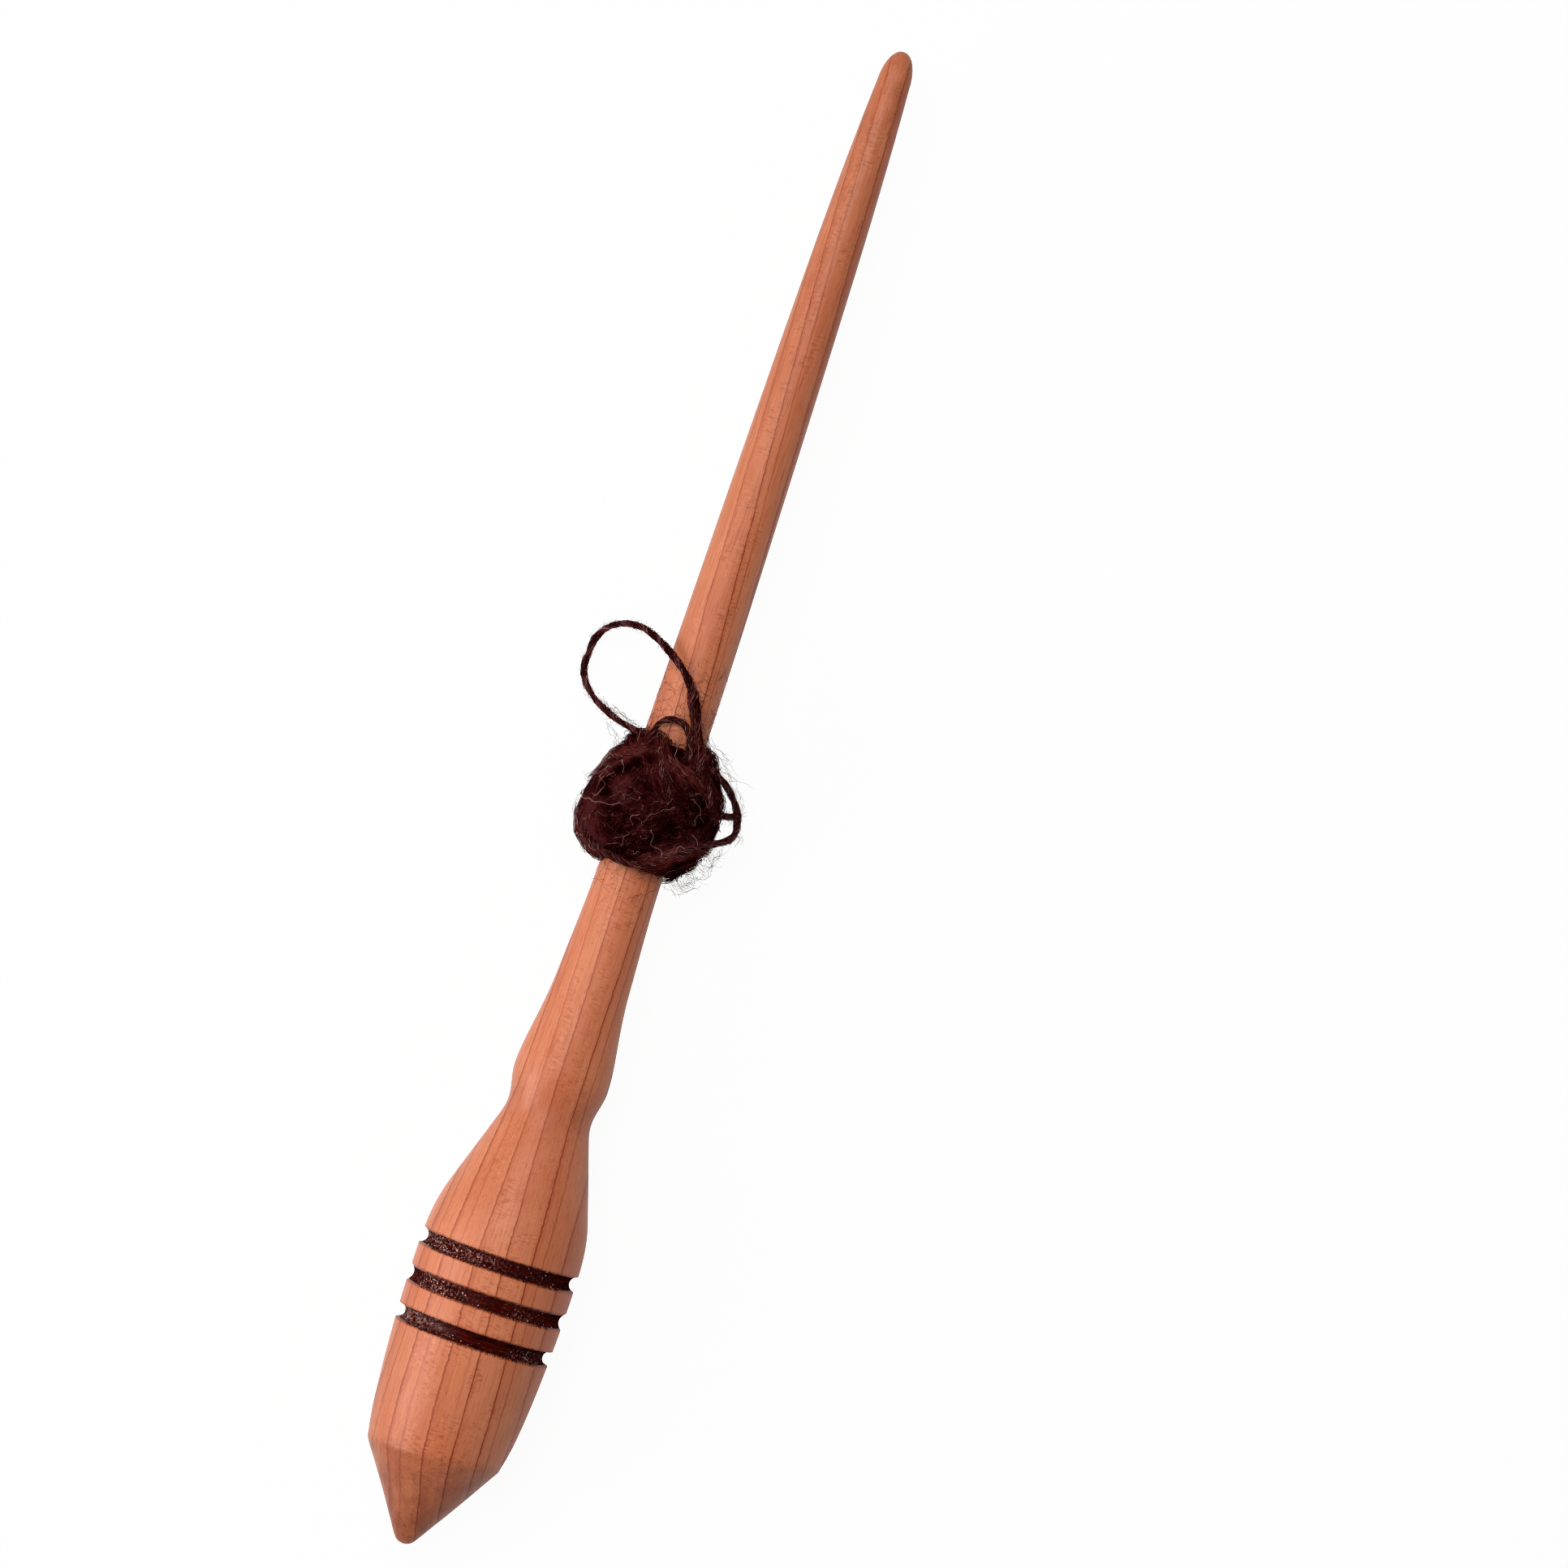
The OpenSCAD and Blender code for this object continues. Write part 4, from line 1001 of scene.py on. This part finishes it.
def makeGrooveFuzz():
    mesh = spindleWood.data
    co = pointsOf(mesh)
    along = (co[:, 0] - tipX) / mm
    rim = grooveDistance(along)
    pieces = []
    bed = patchOf(spindleWood, "rimBed", np.abs(rim) < grooveFuzz["rimWidth"])
    places = (pointsOf(bed.data)[:, 0] - tipX) / mm
    centres = np.array([g for g, depth in spindle["grooves"]])
    nearest = centres[np.argmin(np.abs(places[:, None] - centres[None, :]), axis=1)]
    out = np.sign(places - nearest)
    setWay(bed.data, np.stack([out, out * 0, out * 0], axis=1))
    # there are more of them on the side of each groove that is nearer the tip
    right = -pointsOf(bed.data)[:, 1] / mm
    patchy = 0.65 + 0.35 * np.sin(right * 1.7 + places * 2.3) * np.sin(right * 4.1 - places)
    addAttribute(bed.data, "fibreShare", np.where(out < 0, 1.0, 0.55) * patchy * (np.abs(right) < 12.6))
    pieces.append(runTree(bed, feltTree, "charBristles", material=charFibre, **grooveFuzz["bristle"]))
    bpy.data.objects.remove(bed)
    bed = patchOf(spindleWood, "coveBed", rim < -0.05)
    co = pointsOf(bed.data)
    # lint gathers in clusters, most of them where the pale dust is, on the lit left, so the lint is partly painted
    # light too
    cluster = np.sin(co[:, 1] / mm * 0.9 + co[:, 0] / mm * 0.7) + np.sin(co[:, 1] / mm * 2.1 - co[:, 2] / mm * 1.3 + 2)
    dust = np.empty(len(co))
    bed.data.attributes["dusty"].data.foreach_get("value", dust)
    addAttribute(bed.data, "fibreShare", np.clip(0.03 * (1 + cluster) + 0.9 * dust, 0.02, 1))
    setWay(bed.data, np.tile((1.0, 0.0, 0.0), (len(co), 1)))
    pieces.append(runTree(bed, feltTree, "grooveHairs", material=paleLint, **grooveFuzz["hair"]))
    pieces.append(runTree(bed, lintTree, "grooveLint", material=dullLint, **grooveFuzz["specks"]))
    pieces.append(runTree(bed, lintTree, "grooveCrumbs", material=paleLint, **grooveFuzz["crumbs"]))
    bpy.data.objects.remove(bed)
    for piece in pieces:
        keepAbove(piece, 0.02 * mm)
        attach(piece, "spindle")
    print("groove fuzz:", {p.name: len(p.data.polygons) for p in pieces})


makeGrooveFuzz()


# The cop
cop = dict(
    voxel=0.5,      # mm, mesh size of the matted body
    shrink=1.2,     # mm that the body lies under the outer turns
    lowerPull=2.9,  # mm that the lower end lies inside its solid
    rightPull=0.7,  # mm that the right side does
    strands=150,    # strands that follow the way of the wool
    yarn=1.6,       # mm, the width of a strand
    blotch=0.34,    # how much lighter and darker the wool is from place to place
)

# bundles that the photograph shows on the upper face: mm from the cop's lower end, mm to the right. Some lie on
# top, with less frayed ends
bundles = [
    dict(name="upperLeft", thickness=2.7, wool="brown", lift=1.9, fray=0.25, line=[
        (25.8, -2.8), (23.7, -3.9), (21.8, -6.1), (20.2, -8.7), (18.2, -10.5), (16.1, -11.6), (13.6, -12.4)]),
    dict(name="underUpperLeft", thickness=2.4, wool="dark", line=[(22.6, -4.1), (19.5, -7.2), (17, -9.6), (14.4, -11)]),
    dict(name="fromArchRight", thickness=2.2, wool="brown", lift=1.3, fray=0.6, line=[
        (26, -2.6), (23.8, -1.2), (22.2, 0.5), (21, 2.7), (20.3, 4.9), (19.4, 7), (18.3, 9)]),
    dict(name="fromArch", thickness=3.0, wool="brown", line=[
        (25.6, -3.2), (23, -2.3), (21.2, -0.8), (19.8, 1.1), (18.6, 3.1), (17.4, 5.2)]),
    dict(name="fromArchLeft", thickness=2.6, wool="dark", line=[
        (24.8, -3.6), (22.2, -3.3), (20.2, -2.1), (18.2, -0.3), (16.6, 1.5), (15, 3.2)]),
    dict(name="fromLargeLoop", thickness=3.4, wool="brown", lift=0.8, fray=0.6, line=[
        (29, 4.3), (26, 5.3), (23, 6.4), (20.6, 7.4), (18.9, 9.2), (17.4, 10.9), (15.9, 12.4)]),
    dict(name="besideArch", thickness=2.4, wool="dark", line=[(25.4, 3.4), (23, 4.2), (20.8, 5.4), (18.6, 7.2)]),
    dict(name="upperRight", thickness=2.6, wool="dark", line=[
        (24.4, 7.4), (22.6, 8.8), (20.6, 10.6), (18.4, 12), (15.8, 12.9), (13, 13.2)]),
    dict(name="lowerLeft", thickness=3.2, wool="brown", lift=1.3, fray=0.4, line=[
        (10.2, -12.8), (7.6, -11.8), (5.2, -10.2), (3.7, -8.2), (2.9, -5.8), (2.7, -3)]),
    dict(name="lowerRight", thickness=3.0, wool="brown", lift=1.6, fray=0.25, line=[
        (10.2, 12.9), (8.9, 10.2), (7.4, 7.8), (5.6, 5.2), (4, 2.8), (3.2, 0.6)]),
    dict(name="lowerEdge", thickness=2.2, wool="brown", lift=0.8, fray=0.5, line=[
        (2.9, -0.6), (2.5, 1.8), (2.8, 4.2), (4.2, 6.8), (6, 8.9), (7.8, 10.8)]),
    dict(name="lobe", thickness=3.6, wool="dark", line=[(2, 5), (2.2, 7.4), (4, 9.6), (7, 11.4)]),
    dict(name="steepLeft", thickness=2.2, wool="dark", line=[(10.6, -8.6), (13.4, -6.8), (16.4, -5.2), (19.8, -4.2)]),
    dict(name="middleLeft", thickness=2.2, wool="dark", line=[(8, -4.9), (10.2, -3), (12.4, -1), (14.8, 1.4)]),
    dict(name="middle", thickness=2.2, wool="dark", line=[(8.2, -1.4), (10.4, 0.2), (12.4, 1.8), (14.4, 3.6)]),
    dict(name="middleLow", thickness=2.2, wool="dark", line=[(4.8, -4.4), (6.4, -2.6), (8.2, -0.4), (9.8, 2.2)]),
    dict(name="lowRight", thickness=2.0, wool="dark", line=[(6, 1), (7.8, 3.4), (9.6, 6), (11.4, 8.8), (12.6, 11.4)]),
    dict(name="middleRight", thickness=2.2, wool="dark", line=[(12, 5.2), (13.8, 7.2), (15.2, 9.4), (15.6, 12)]),
    dict(name="farLeft", thickness=2.4, wool="dark", line=[(8.4, -11), (11, -9.9), (14, -9.8), (17, -8.6)]),
]

# single pale fibres that stand out in the photograph, given the same way
paleFibres = [
    [(17.3, -8.8), (16.2, -9.5), (15.1, -9.7), (14.3, -9), (13.3, -8.7), (11.7, -9.2), (11.6, -10)],
    [(11.4, -13), (11.2, -10.1), (11.1, -7.8), (11.3, -6.2), (11.6, -5.2)], [(16.7, 6.4), (15.5, 7.6), (13.9, 8.6)],
    [(12.5, 7.4), (13.4, 7.5), (14.5, 7.9)], [(9.7, 1.5), (8.8, 1.9), (7.5, 1.9), (6.9, 3.2), (6.1, 4.1)],
    [(10.9, 7.7), (10, 8.6), (8.9, 10.3)], [(18.2, 9.6), (17.7, 10.5), (16.8, 10.9)],
    [(24, -1.3), (22.9, 0), (21.8, 1.5), (20.6, 3), (20.3, 4.7), (20, 6.1), (19.4, 6.9)], [(17.4, 5.5), (17.9, 7)],
    [(10.5, -0.5), (11.6, 0.4), (13, 2), (13.5, 2.9), (14.3, 3.4)],
    [(9.1, -2.1), (10.1, -2.7), (11, -2.1), (11.5, -1.2)], [(5.6, -3), (6.6, -2.7), (7.8, -2.1)],
    [(4.8, -8.2), (3.9, -7.7), (3.4, -6.7), (2.8, -5.6)], [(7.2, 8.5), (8, 7.6), (8.1, 6.4), (7.3, 5.8), (6, 5.6)],
    [(7.2, 10.4), (6.3, 11.8)], [(11.5, 14.4), (10.6, 14), (10, 13), (9.6, 11.5)],
    [(2.6, 0.3), (2.4, 2.2), (2.4, 3.5), (3, 5.3), (3.8, 6.3)], [(25.2, 0.6), (23.7, 1), (22.6, 1.6)],
    [(25.3, 2.7), (24.6, 3.3), (23.8, 3.4)], [(25.1, -5.4), (24, -5.4), (23.7, -4.5), (24.3, -4.1)],
    [(25.6, -3.1), (24.4, -1.8), (23.2, -1.6)], [(19.2, -6.8), (17.3, -6.3)],
    [(18.4, -10.4), (18.6, -9.5), (20.1, -7.9), (22.1, -5.6)],
]

# lighter stretches of the wool, partly its own lighter brown and partly painted light where bundles face the light, and
# darker ones with a strength below 0, painted shade in the gaps beside the bundles: mm from the cop's lower end, mm to
# the right, reach, strength
woolLightAndShade = [(15.5, -6.5, 3.4, 0.75), (22.4, -5.4, 1.6, 0.8), (20.9, -7.6, 1.6, 0.9), (19, -9.8, 1.6, 0.9),
               (16.6, -11.4, 1.6, 0.7), (10, -11.5, 3, 0.65), (7.2, -11.4, 2, 0.8), (5, -9.6, 2.2, 0.9),
               (3.4, -6.6, 2, 0.7), (8.8, 10.2, 1.8, 0.9), (7.2, 7.8, 1.8, 1.3), (5.4, 5.2, 1.8, 1.2),
               (3.6, 2.4, 1.8, 0.6), (21.5, -1, 3, 0.45), (20, 4.5, 3, 0.3), (25, 6, 3, 0.3), (12, 1, 4, 0.15),
               (21.8, -3.2, 0.9, -1.4), (20.4, -5.3, 0.9, -1.6), (19, -6.8, 0.8, -1.6), (17.7, -8.2, 0.9, -1.6),
               (15, -9.9, 1.0, -1.6), (13.1, -9.3, 0.9, -1.2), (9.6, 4.4, 1.8, -0.6), (7.6, 1.8, 1.6, -0.6), (3, 8.8, 2, -0.4),
               (4.6, -3, 1.4, -0.4), (15.4, 10.6, 2, -0.3)]


def makeCopCore():
    source = cadNodes["wound_cop"].data.copy()
    core = bpy.data.objects.new("copCore", source)
    scene.collection.objects.link(core)
    shape = bmesh.new()
    shape.from_mesh(source)
    bmesh.ops.remove_doubles(shape, verts=shape.verts, dist=0.001 * mm)
    shape.to_mesh(source)
    shape.free()
    core.modifiers.new("remesh", "REMESH").voxel_size = cop["voxel"] * mm
    smooth = core.modifiers.new("smooth", "SMOOTH")
    smooth.factor = 0.5
    smooth.iterations = 4
    evaluated = core.evaluated_get(bpy.context.evaluated_depsgraph_get())
    mesh = bpy.data.meshes.new_from_object(evaluated)
    core.modifiers.clear()
    core.data = mesh
    mesh.name = "copCore"
    co = pointsOf(mesh)
    normals = np.empty(len(mesh.vertices) * 3)
    mesh.vertex_normals.foreach_get("vector", normals)
    normals = normals.reshape(-1, 3)
    radial = co.copy()
    radial[:, 0] = 0
    radial[:, 2] -= axisZ
    outer = (normals * radial).sum(1) > 0
    # the bore stays where it is, and the skin sinks a little under the yarn
    fromAxis = np.hypot(radial[:, 1], radial[:, 2])
    room = np.clip((fromAxis - 7.4 * mm) / (2 * mm), 0, 1)
    sink = cop["shrink"] + cop["rightPull"] * np.clip(-normals[:, 1], 0, 1)
    co -= normals * (outer * room * sink * mm)[:, None]
    low = np.clip(1 - (co[:, 0] - copLow.x) / (6 * mm), 0, 1)
    co[:, 0] += low * cop["lowerPull"] * mm
    mesh.vertices.foreach_set("co", co.ravel())
    mesh.update()
    addAttribute(mesh, "tone", 0.1 * np.random.default_rng(2).random(len(co)))
    for polygon in mesh.polygons:
        polygon.use_smooth = True
    mesh.materials.clear()
    mesh.materials.append(fleeceWool)
    return core


copCore = makeCopCore()
copTree = BVHTree.FromObject(copCore, bpy.context.evaluated_depsgraph_get())


def onCop(x, angle, lift):
    # point on the cop's skin at a place along it and an angle round the shaft, both from outside
    way = Vector((0, math.cos(angle), math.sin(angle)))
    axis = Vector((copLow.x + x * mm, 0, axisZ))
    hit = copTree.ray_cast(axis + way * 60 * mm, -way)[0]
    radius = (hit - axis).length if hit else 7 * mm
    radius = max(radius, 6.9 * mm) + lift * mm
    spot = axis + way * radius
    return (spot.x, spot.y, max(spot.z, 0.8 * mm))


def overCop(points, lift):
    # a line on the cop's upper face through (mm from the cop's lower end, mm to the right) points. Past the cop's
    # side it goes on down that side, and past its end along the shaft
    line = []
    for x, right in smoothRoute(points, 5):
        start = Vector((copLow.x + x * mm, -right * mm, 60 * mm))
        spot, normal = copTree.ray_cast(start, Vector((0, 0, -1)))[:2]
        if spot is None and x > 20 and abs(right) < 7:
            spot = Vector((start.x, start.y, axisZ + math.sqrt(7.6 ** 2 - right ** 2) * mm))
            normal = Vector((0, 0, 1))
        elif spot is None or spot.z < axisZ:
            start.z = axisZ
            start.z -= 2 * copTree.find_nearest(start)[3]
            spot, normal = copTree.find_nearest(start)[:2]
        line.append(tuple(spot + normal * lift * mm))
    return line


def pressOn(piece, most):
    # fibres that stand off the cop's side come nearer to it, and none stays further off than most
    co = pointsOf(piece.data)
    for i, spot in enumerate(co):
        skin, normal, face, gap = copTree.find_nearest(spot)
        off = Vector(spot) - skin
        reach = math.hypot(off.y, off.z)
        if reach > 0.4 * most and off.dot(normal) > 0:
            co[i, 1:] = np.array(skin)[1:] + np.array(off)[1:] * most * math.tanh(reach / most) / reach
    piece.data.vertices.foreach_set("co", co.ravel())
    piece.data.update()


def bundleFlow():
    # places on the bundles, and the way that each one runs there
    spots, ways = [], []
    for bundle in bundles:
        line = np.array(overCop(bundle["line"], 0))
        steps = np.diff(line, axis=0)
        steps *= np.where(steps[:, 1] > 0, -1, 1)[:, None]
        spots.append((line[1:] + line[:-1]) / 2)
        ways.append(steps / np.linalg.norm(steps, axis=1)[:, None])
    return np.concatenate(spots), np.concatenate(ways)


flowSpots, flowWays = bundleFlow()


def woolWay(places):
    # the wool lies along the bundles on the upper face, and round the shaft below
    gap2 = ((places[:, None, :] - flowSpots[None, :, :]) ** 2).sum(2)
    weight = 1 / (gap2 + (0.8 * mm) ** 2) ** 2
    near = (weight[:, :, None] * flowWays[None, :, :]).sum(1)
    near /= np.linalg.norm(near, axis=1)[:, None]
    radial = places - np.array([0, 0, axisZ])
    radial[:, 0] = 0
    round1 = np.cross((1.0, 0, 0), radial)
    round1 /= np.linalg.norm(round1, axis=1)[:, None]
    round1[:, 0] += 0.5 * np.sin(places[:, 0] / mm * 0.35 + places[:, 1] / mm * 0.25)
    share = np.clip((places[:, 2] - axisZ) / (4 * mm), 0, 1)[:, None]
    return near * share + round1 * (1 - share)


setWay(copCore.data, woolWay(pointsOf(copCore.data)))
addAttribute(copCore.data, "fibreShare", np.ones(len(copCore.data.vertices)))


def followWool(spot, sign, veer, steps, lift):
    # steps over the cop's skin along the way of the wool
    line = []
    for k in range(steps):
        way = woolWay(np.array([spot]))[0]
        skin = copTree.find_nearest(Vector(spot))
        aside = np.cross(np.array(skin[1]), way)
        spot = np.array(spot) + sign * 1.2 * mm * (way + veer * aside)
        place, normal = copTree.find_nearest(Vector(spot))[:2]
        if not 2.4 * mm < place.x - copLow.x < 25 * mm:
            break
        spot = tuple(place + normal * lift)
        line.append((spot[0], spot[1], max(spot[2], 0.8 * mm)))
    return line


def makeStrands():
    dice = random.Random(11)
    lines = []
    for k in range(cop["strands"]):
        # three of four begin on the upper face
        angle = dice.uniform(0.1, math.pi - 0.1) if k % 4 else dice.uniform(math.pi, math.tau)
        lift = dice.uniform(0.0, 0.5) * mm
        spot = onCop(dice.uniform(3.2, 24), angle, lift / mm)
        veer = dice.uniform(-0.35, 0.35)
        back = followWool(spot, -1, -veer, dice.randint(3, 9), lift)
        line = back[::-1] + [spot] + followWool(spot, 1, veer, dice.randint(3, 9), lift)
        if len(line) > 3:
            lines.append(smoothRoute(line, 2))
    return lines


def paintWoolLightAndShade(piece):
    # lifts the darker fibres where the wool is lighter, partly its own colour and partly painted light, and dulls all
    # of them where painted shade darkens it
    co = pointsOf(piece.data)
    along, right = (co[:, 0] - copLow.x) / mm, -co[:, 1] / mm
    lift = np.zeros(len(co))
    for place, side, reach, strength in woolLightAndShade:
        lift += strength * np.exp(-((along - place) ** 2 + (right - side) ** 2) / reach ** 2)
    lift += cop["blotch"] * np.sin(1.7 * along + 1.9 * np.sin(0.9 * right)) * np.sin(1.5 * right
                                                                                  + 1.7 * np.sin(0.8 * along))
    tone = np.empty(len(co))
    piece.data.attributes["tone"].data.foreach_get("value", tone)
    addAttribute(piece.data, "tone", np.where(lift > 0, tone + np.clip(lift, 0, 0.9) * np.clip(0.74 - tone, 0, 1),
                                              tone * np.clip(1 + lift, 0.25, 1)))


copLayers = [
    dict(name="copFleece", density=1.75e6, length=5.5 * mm, thickness=0.18 * mm, spread=0.6, lift=0.1, cling=0.92,
         height=2.0 * mm, root=0.5, curl=1.3 * mm, curlScale=420.0, points=7, seed=41),
    dict(name="copFibres", density=1.35e6, length=5.0 * mm, thickness=0.14 * mm, spread=1.2, lift=0.1, cling=0.88,
         height=3.0 * mm, root=0.5, curl=2.4 * mm, curlScale=520.0, points=9, pale=0.0, seed=44),
    dict(name="copPaleFibres", density=1.8e5, length=3.4 * mm, thickness=0.1 * mm, spread=3.1, lift=0.1,
         cling=0.85, height=3.6 * mm, root=0.5, curl=3.6 * mm, curlScale=750.0, points=13, pale=0.42, seed=42),
    dict(name="copHalo", density=2.0e6, length=3.9 * mm, thickness=0.042 * mm, spread=2.2, lift=0.9, cling=0.0,
         height=0.3 * mm, root=0.1, curl=4.4 * mm, curlScale=360.0, points=14, pale=0.3, seed=43),
]


def makeCop():
    pieces = [copCore]
    pieces.append(spin("copStrands", makeStrands(), thickness=cop["yarn"] * mm, filament=0.13 * mm, filaments=14,
                       plies=1, pitch=24 * mm, frizz=1.2 * mm, frizzScale=450.0, step=0.8 * mm, fuzzCount=8, fuzzLength=2.6 * mm,
                       fuzzThickness=0.07 * mm, fuzzCurl=2.0 * mm, fray=1.0, seed=21, material=fleeceWool))
    pressOn(pieces[-1], 1.8 * mm)
    for number, bundle in enumerate(bundles):
        wool = yarnWool if bundle["wool"] == "brown" else fleeceWool
        piece = spin("cop" + bundle["name"][0].upper() + bundle["name"][1:],
                     [overCop(bundle["line"], bundle.get("lift", 0.5))],
                     thickness=bundle["thickness"] * mm, filament=0.12 * mm, filaments=int(bundle["thickness"] * 30),
                     plies=1, pitch=60 * mm, frizz=1.2 * mm, frizzScale=420.0, step=0.6 * mm, fuzzCount=80,
                     fuzzLength=2.4 * mm, fuzzThickness=0.07 * mm, fuzzCurl=2.0 * mm, fray=bundle.get("fray", 0.9),
                     loosen=0.6, seed=30 + number, material=wool)
        pressOn(piece, (1.6 + bundle.get("lift", 0.5)) * mm)
        pieces.append(piece)
    pieces.append(spin("copSinglePale", [overCop(line, 1.9) for line in paleFibres], thickness=0.5 * mm,
                       filament=0.12 * mm, filaments=1, plies=1, pitch=5 * mm, frizz=0.7 * mm, step=0.25 * mm,
                       fuzzCount=2, fuzzLength=1.0 * mm, fuzzThickness=0.06 * mm, fuzzCurl=1.0 * mm, seed=71,
                       material=paleWool))
    co = pointsOf(copCore.data)
    right = np.clip((-co[:, 1] / mm + 4) / 12, 0, 1)
    low = np.clip((copLow.x + 9 * mm - co[:, 0]) / (8 * mm), 0, 1)
    # there is less of it where it would stand over the bare wood
    overWood = (np.abs(co[:, 1]) < 5 * mm) & (co[:, 0] > copLow.x + 22.5 * mm)
    rimShare = np.where(overWood, 0.3, 1.0)
    for layer in copLayers:
        values = {key: value for key, value in layer.items() if key != "name"}
        # the halo is thickest at the right and most of all at the lower right
        share = 0.18 + 0.4 * right + 2.0 * right * low if layer["name"] == "copHalo" else rimShare
        addAttribute(copCore.data, "fibreShare", share)
        fibres = runTree(copCore, feltTree, layer["name"], material=fleeceWool, **values)
        keepAbove(fibres, 0.02 * mm)
        pieces.append(fibres)
    for piece in pieces:
        if piece is not copCore:
            paintWoolLightAndShade(piece)
        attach(piece, "yarn")
    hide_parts("wound_cop")
    print("cop wound:", {p.name: len(p.data.polygons) for p in pieces})


makeCop()


# Wisps of loose wool that stand off the cop and the large loop: mm from the cop's lower end, mm to the right and
# mm above the table
wisps = dict(
    thin=dict(thickness=0.9, filament=0.055, filaments=3, frizz=1.7, waves=400, fuzz=6, lines=[
        [(29.0, 5.9, 18), (27.8, 7.8, 18), (26.8, 10.0, 17), (25.7, 11.6, 17)],
        [(26.7, 6.4, 20), (26.3, 8.7, 20), (24.4, 11.3, 18), (22.6, 12.8, 18)],
        [(24.4, 8.2, 20), (23.9, 10.7, 20), (23.2, 13.3, 19), (23.2, 15.0, 19)],
        [(22.6, 12.3, 18), (21.0, 14.6, 18), (18.7, 16.2, 17), (15.6, 16.8, 17)],
        [(13.7, 16.5, 15), (12.9, 18.0, 15), (11.5, 17.4, 15)],
        [(13.8, -12.2, 20), (15.0, -13.6, 20), (16.7, -12.6, 20), (18.1, -11.6, 20)],
        [(30.6, -16.8, 4), (28.7, -14.6, 8), (28.3, -12.6, 11), (28, -10.8, 14), (27.2, -9.4, 16), (26.7, -7.2, 18),
         (26.3, -5.8, 20)],
        [(29.6, -14.9, 7), (28.7, -12.4, 11), (27.7, -10.1, 14), (26.9, -7.8, 18), (26.2, -6, 20)],
        [(27.6, -14.0, 12), (25.1, -12.6, 12), (23.9, -10.8, 14), (21.7, -10.3, 16), (21.2, -8.9, 18)],
        [(33, -20.4, 2), (30.4, -18.6, 3), (28.2, -15.4, 8)]]),
    thick=dict(thickness=2.6, filament=0.05, filaments=6, frizz=3.0, waves=420, fuzz=12, lines=[
        [(8.4, 11.4, 16), (7.4, 13.6, 16), (8.4, 15.0, 15), (10.0, 15.2, 15)],
        [(5.6, 11.0, 16), (5.0, 13.0, 16), (6.0, 14.2, 15), (7.6, 14.2, 15)],
        [(4.0, 9.8, 16), (2.6, 11.8, 16), (3.6, 13.2, 16)],
        [(2.8, 8.4, 16), (1.2, 10.2, 16), (1.9, 12.0, 16), (3.0, 11.8, 16)],
        [(2.2, 6.6, 17), (0.7, 8.4, 17), (0.2, 10.0, 17), (1.4, 11.2, 17)],
        [(4.6, -9.0, 18), (2.6, -9.8, 18), (1.9, -8.4, 18)],
        [(10.4, -12.4, 18), (8.9, -13.4, 18), (7.5, -12.8, 18)]]),
)


def makeWisps():
    pieces = []
    for name, wisp in wisps.items():
        lines = [smoothRoute([(copLow.x + x * mm, -right * mm, z * mm) for x, right, z in line])
                 for line in wisp["lines"]]
        pieces.append(spin(name + "Wisps", lines, thickness=wisp["thickness"] * mm, filament=wisp["filament"] * mm,
                           filaments=wisp["filaments"], plies=1, pitch=30 * mm, frizz=wisp["frizz"] * mm,
                           frizzScale=float(wisp["waves"]), step=0.35 * mm, fuzzCount=wisp["fuzz"],
                           fuzzLength=3.0 * mm, fuzzThickness=wisp["filament"] * mm, fuzzCurl=2.6 * mm, fuzzLean=1.2,
                           fray=0.5, seed=81, material=loopWool))
    for piece in pieces:
        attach(piece, "yarn")
    print("wisps:", {p.name: len(p.data.polygons) for p in pieces})


makeWisps()


# Stray fibres shed on the shaft beside the cop, and the opened fibres beside the large loop's leg
strays = dict(
    below=(127.5, 137.0), above=(158.5, 178.0),  # mm from the tip
    fibre=dict(density=1.3e6, length=4.4 * mm, thickness=0.045 * mm, spread=3.1, lift=0.12, cling=0.9,
               height=0.6 * mm, root=0.5, curl=2.8 * mm, curlScale=380.0, points=16, pale=0.5, seed=51),
    leg=[(36.5, 0.1, 22.4), (34.2, 1.3, 22.2), (31.6, 2.6, 21.8), (28.9, 3.7, 21.8), (26.3, 5, 21.8), (23.7, 6.4, 22.8)],
)


def makeStrays():
    co = pointsOf(spindleWood.data)
    along = (co[:, 0] - tipX) / mm
    (a, b), (c, d) = strays["below"], strays["above"]
    bed = patchOf(spindleWood, "strayBed", (((along > a) & (along < b)) | ((along > c) & (along < d)))
                  & (co[:, 2] > axisZ + 2 * mm))
    co = pointsOf(bed.data)
    along = (co[:, 0] - tipX) / mm
    # most of them lie close to the cop
    share = np.where(along < 150, np.interp(along, [a, b], [0.05, 0.8]), np.interp(along, [c, d], [1.0, 0.15]))
    addAttribute(bed.data, "fibreShare", share)
    setWay(bed.data, np.tile((0.3, 1.0, 0.0), (len(co), 1)))
    pieces = [runTree(bed, feltTree, "strayFibres", material=fleeceWool, **strays["fibre"])]
    bpy.data.objects.remove(bed)
    leg = smoothRoute([(copLow.x + x * mm, -right * mm, z * mm) for x, right, z in strays["leg"]])
    pieces.append(spin("loopLegFibres", [leg], thickness=1.9 * mm, filament=0.1 * mm, filaments=40, plies=1,
                       pitch=40 * mm, frizz=1.4 * mm, frizzScale=420.0, step=0.5 * mm, fuzzCount=160,
                       fuzzLength=3.2 * mm, fuzzThickness=0.06 * mm, fuzzCurl=2.4 * mm, fuzzLean=1.4, seed=72,
                       material=yarnWool))
    for piece in pieces:
        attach(piece, "yarn")
    print("strays:", {p.name: len(p.data.polygons) for p in pieces})


makeStrays()
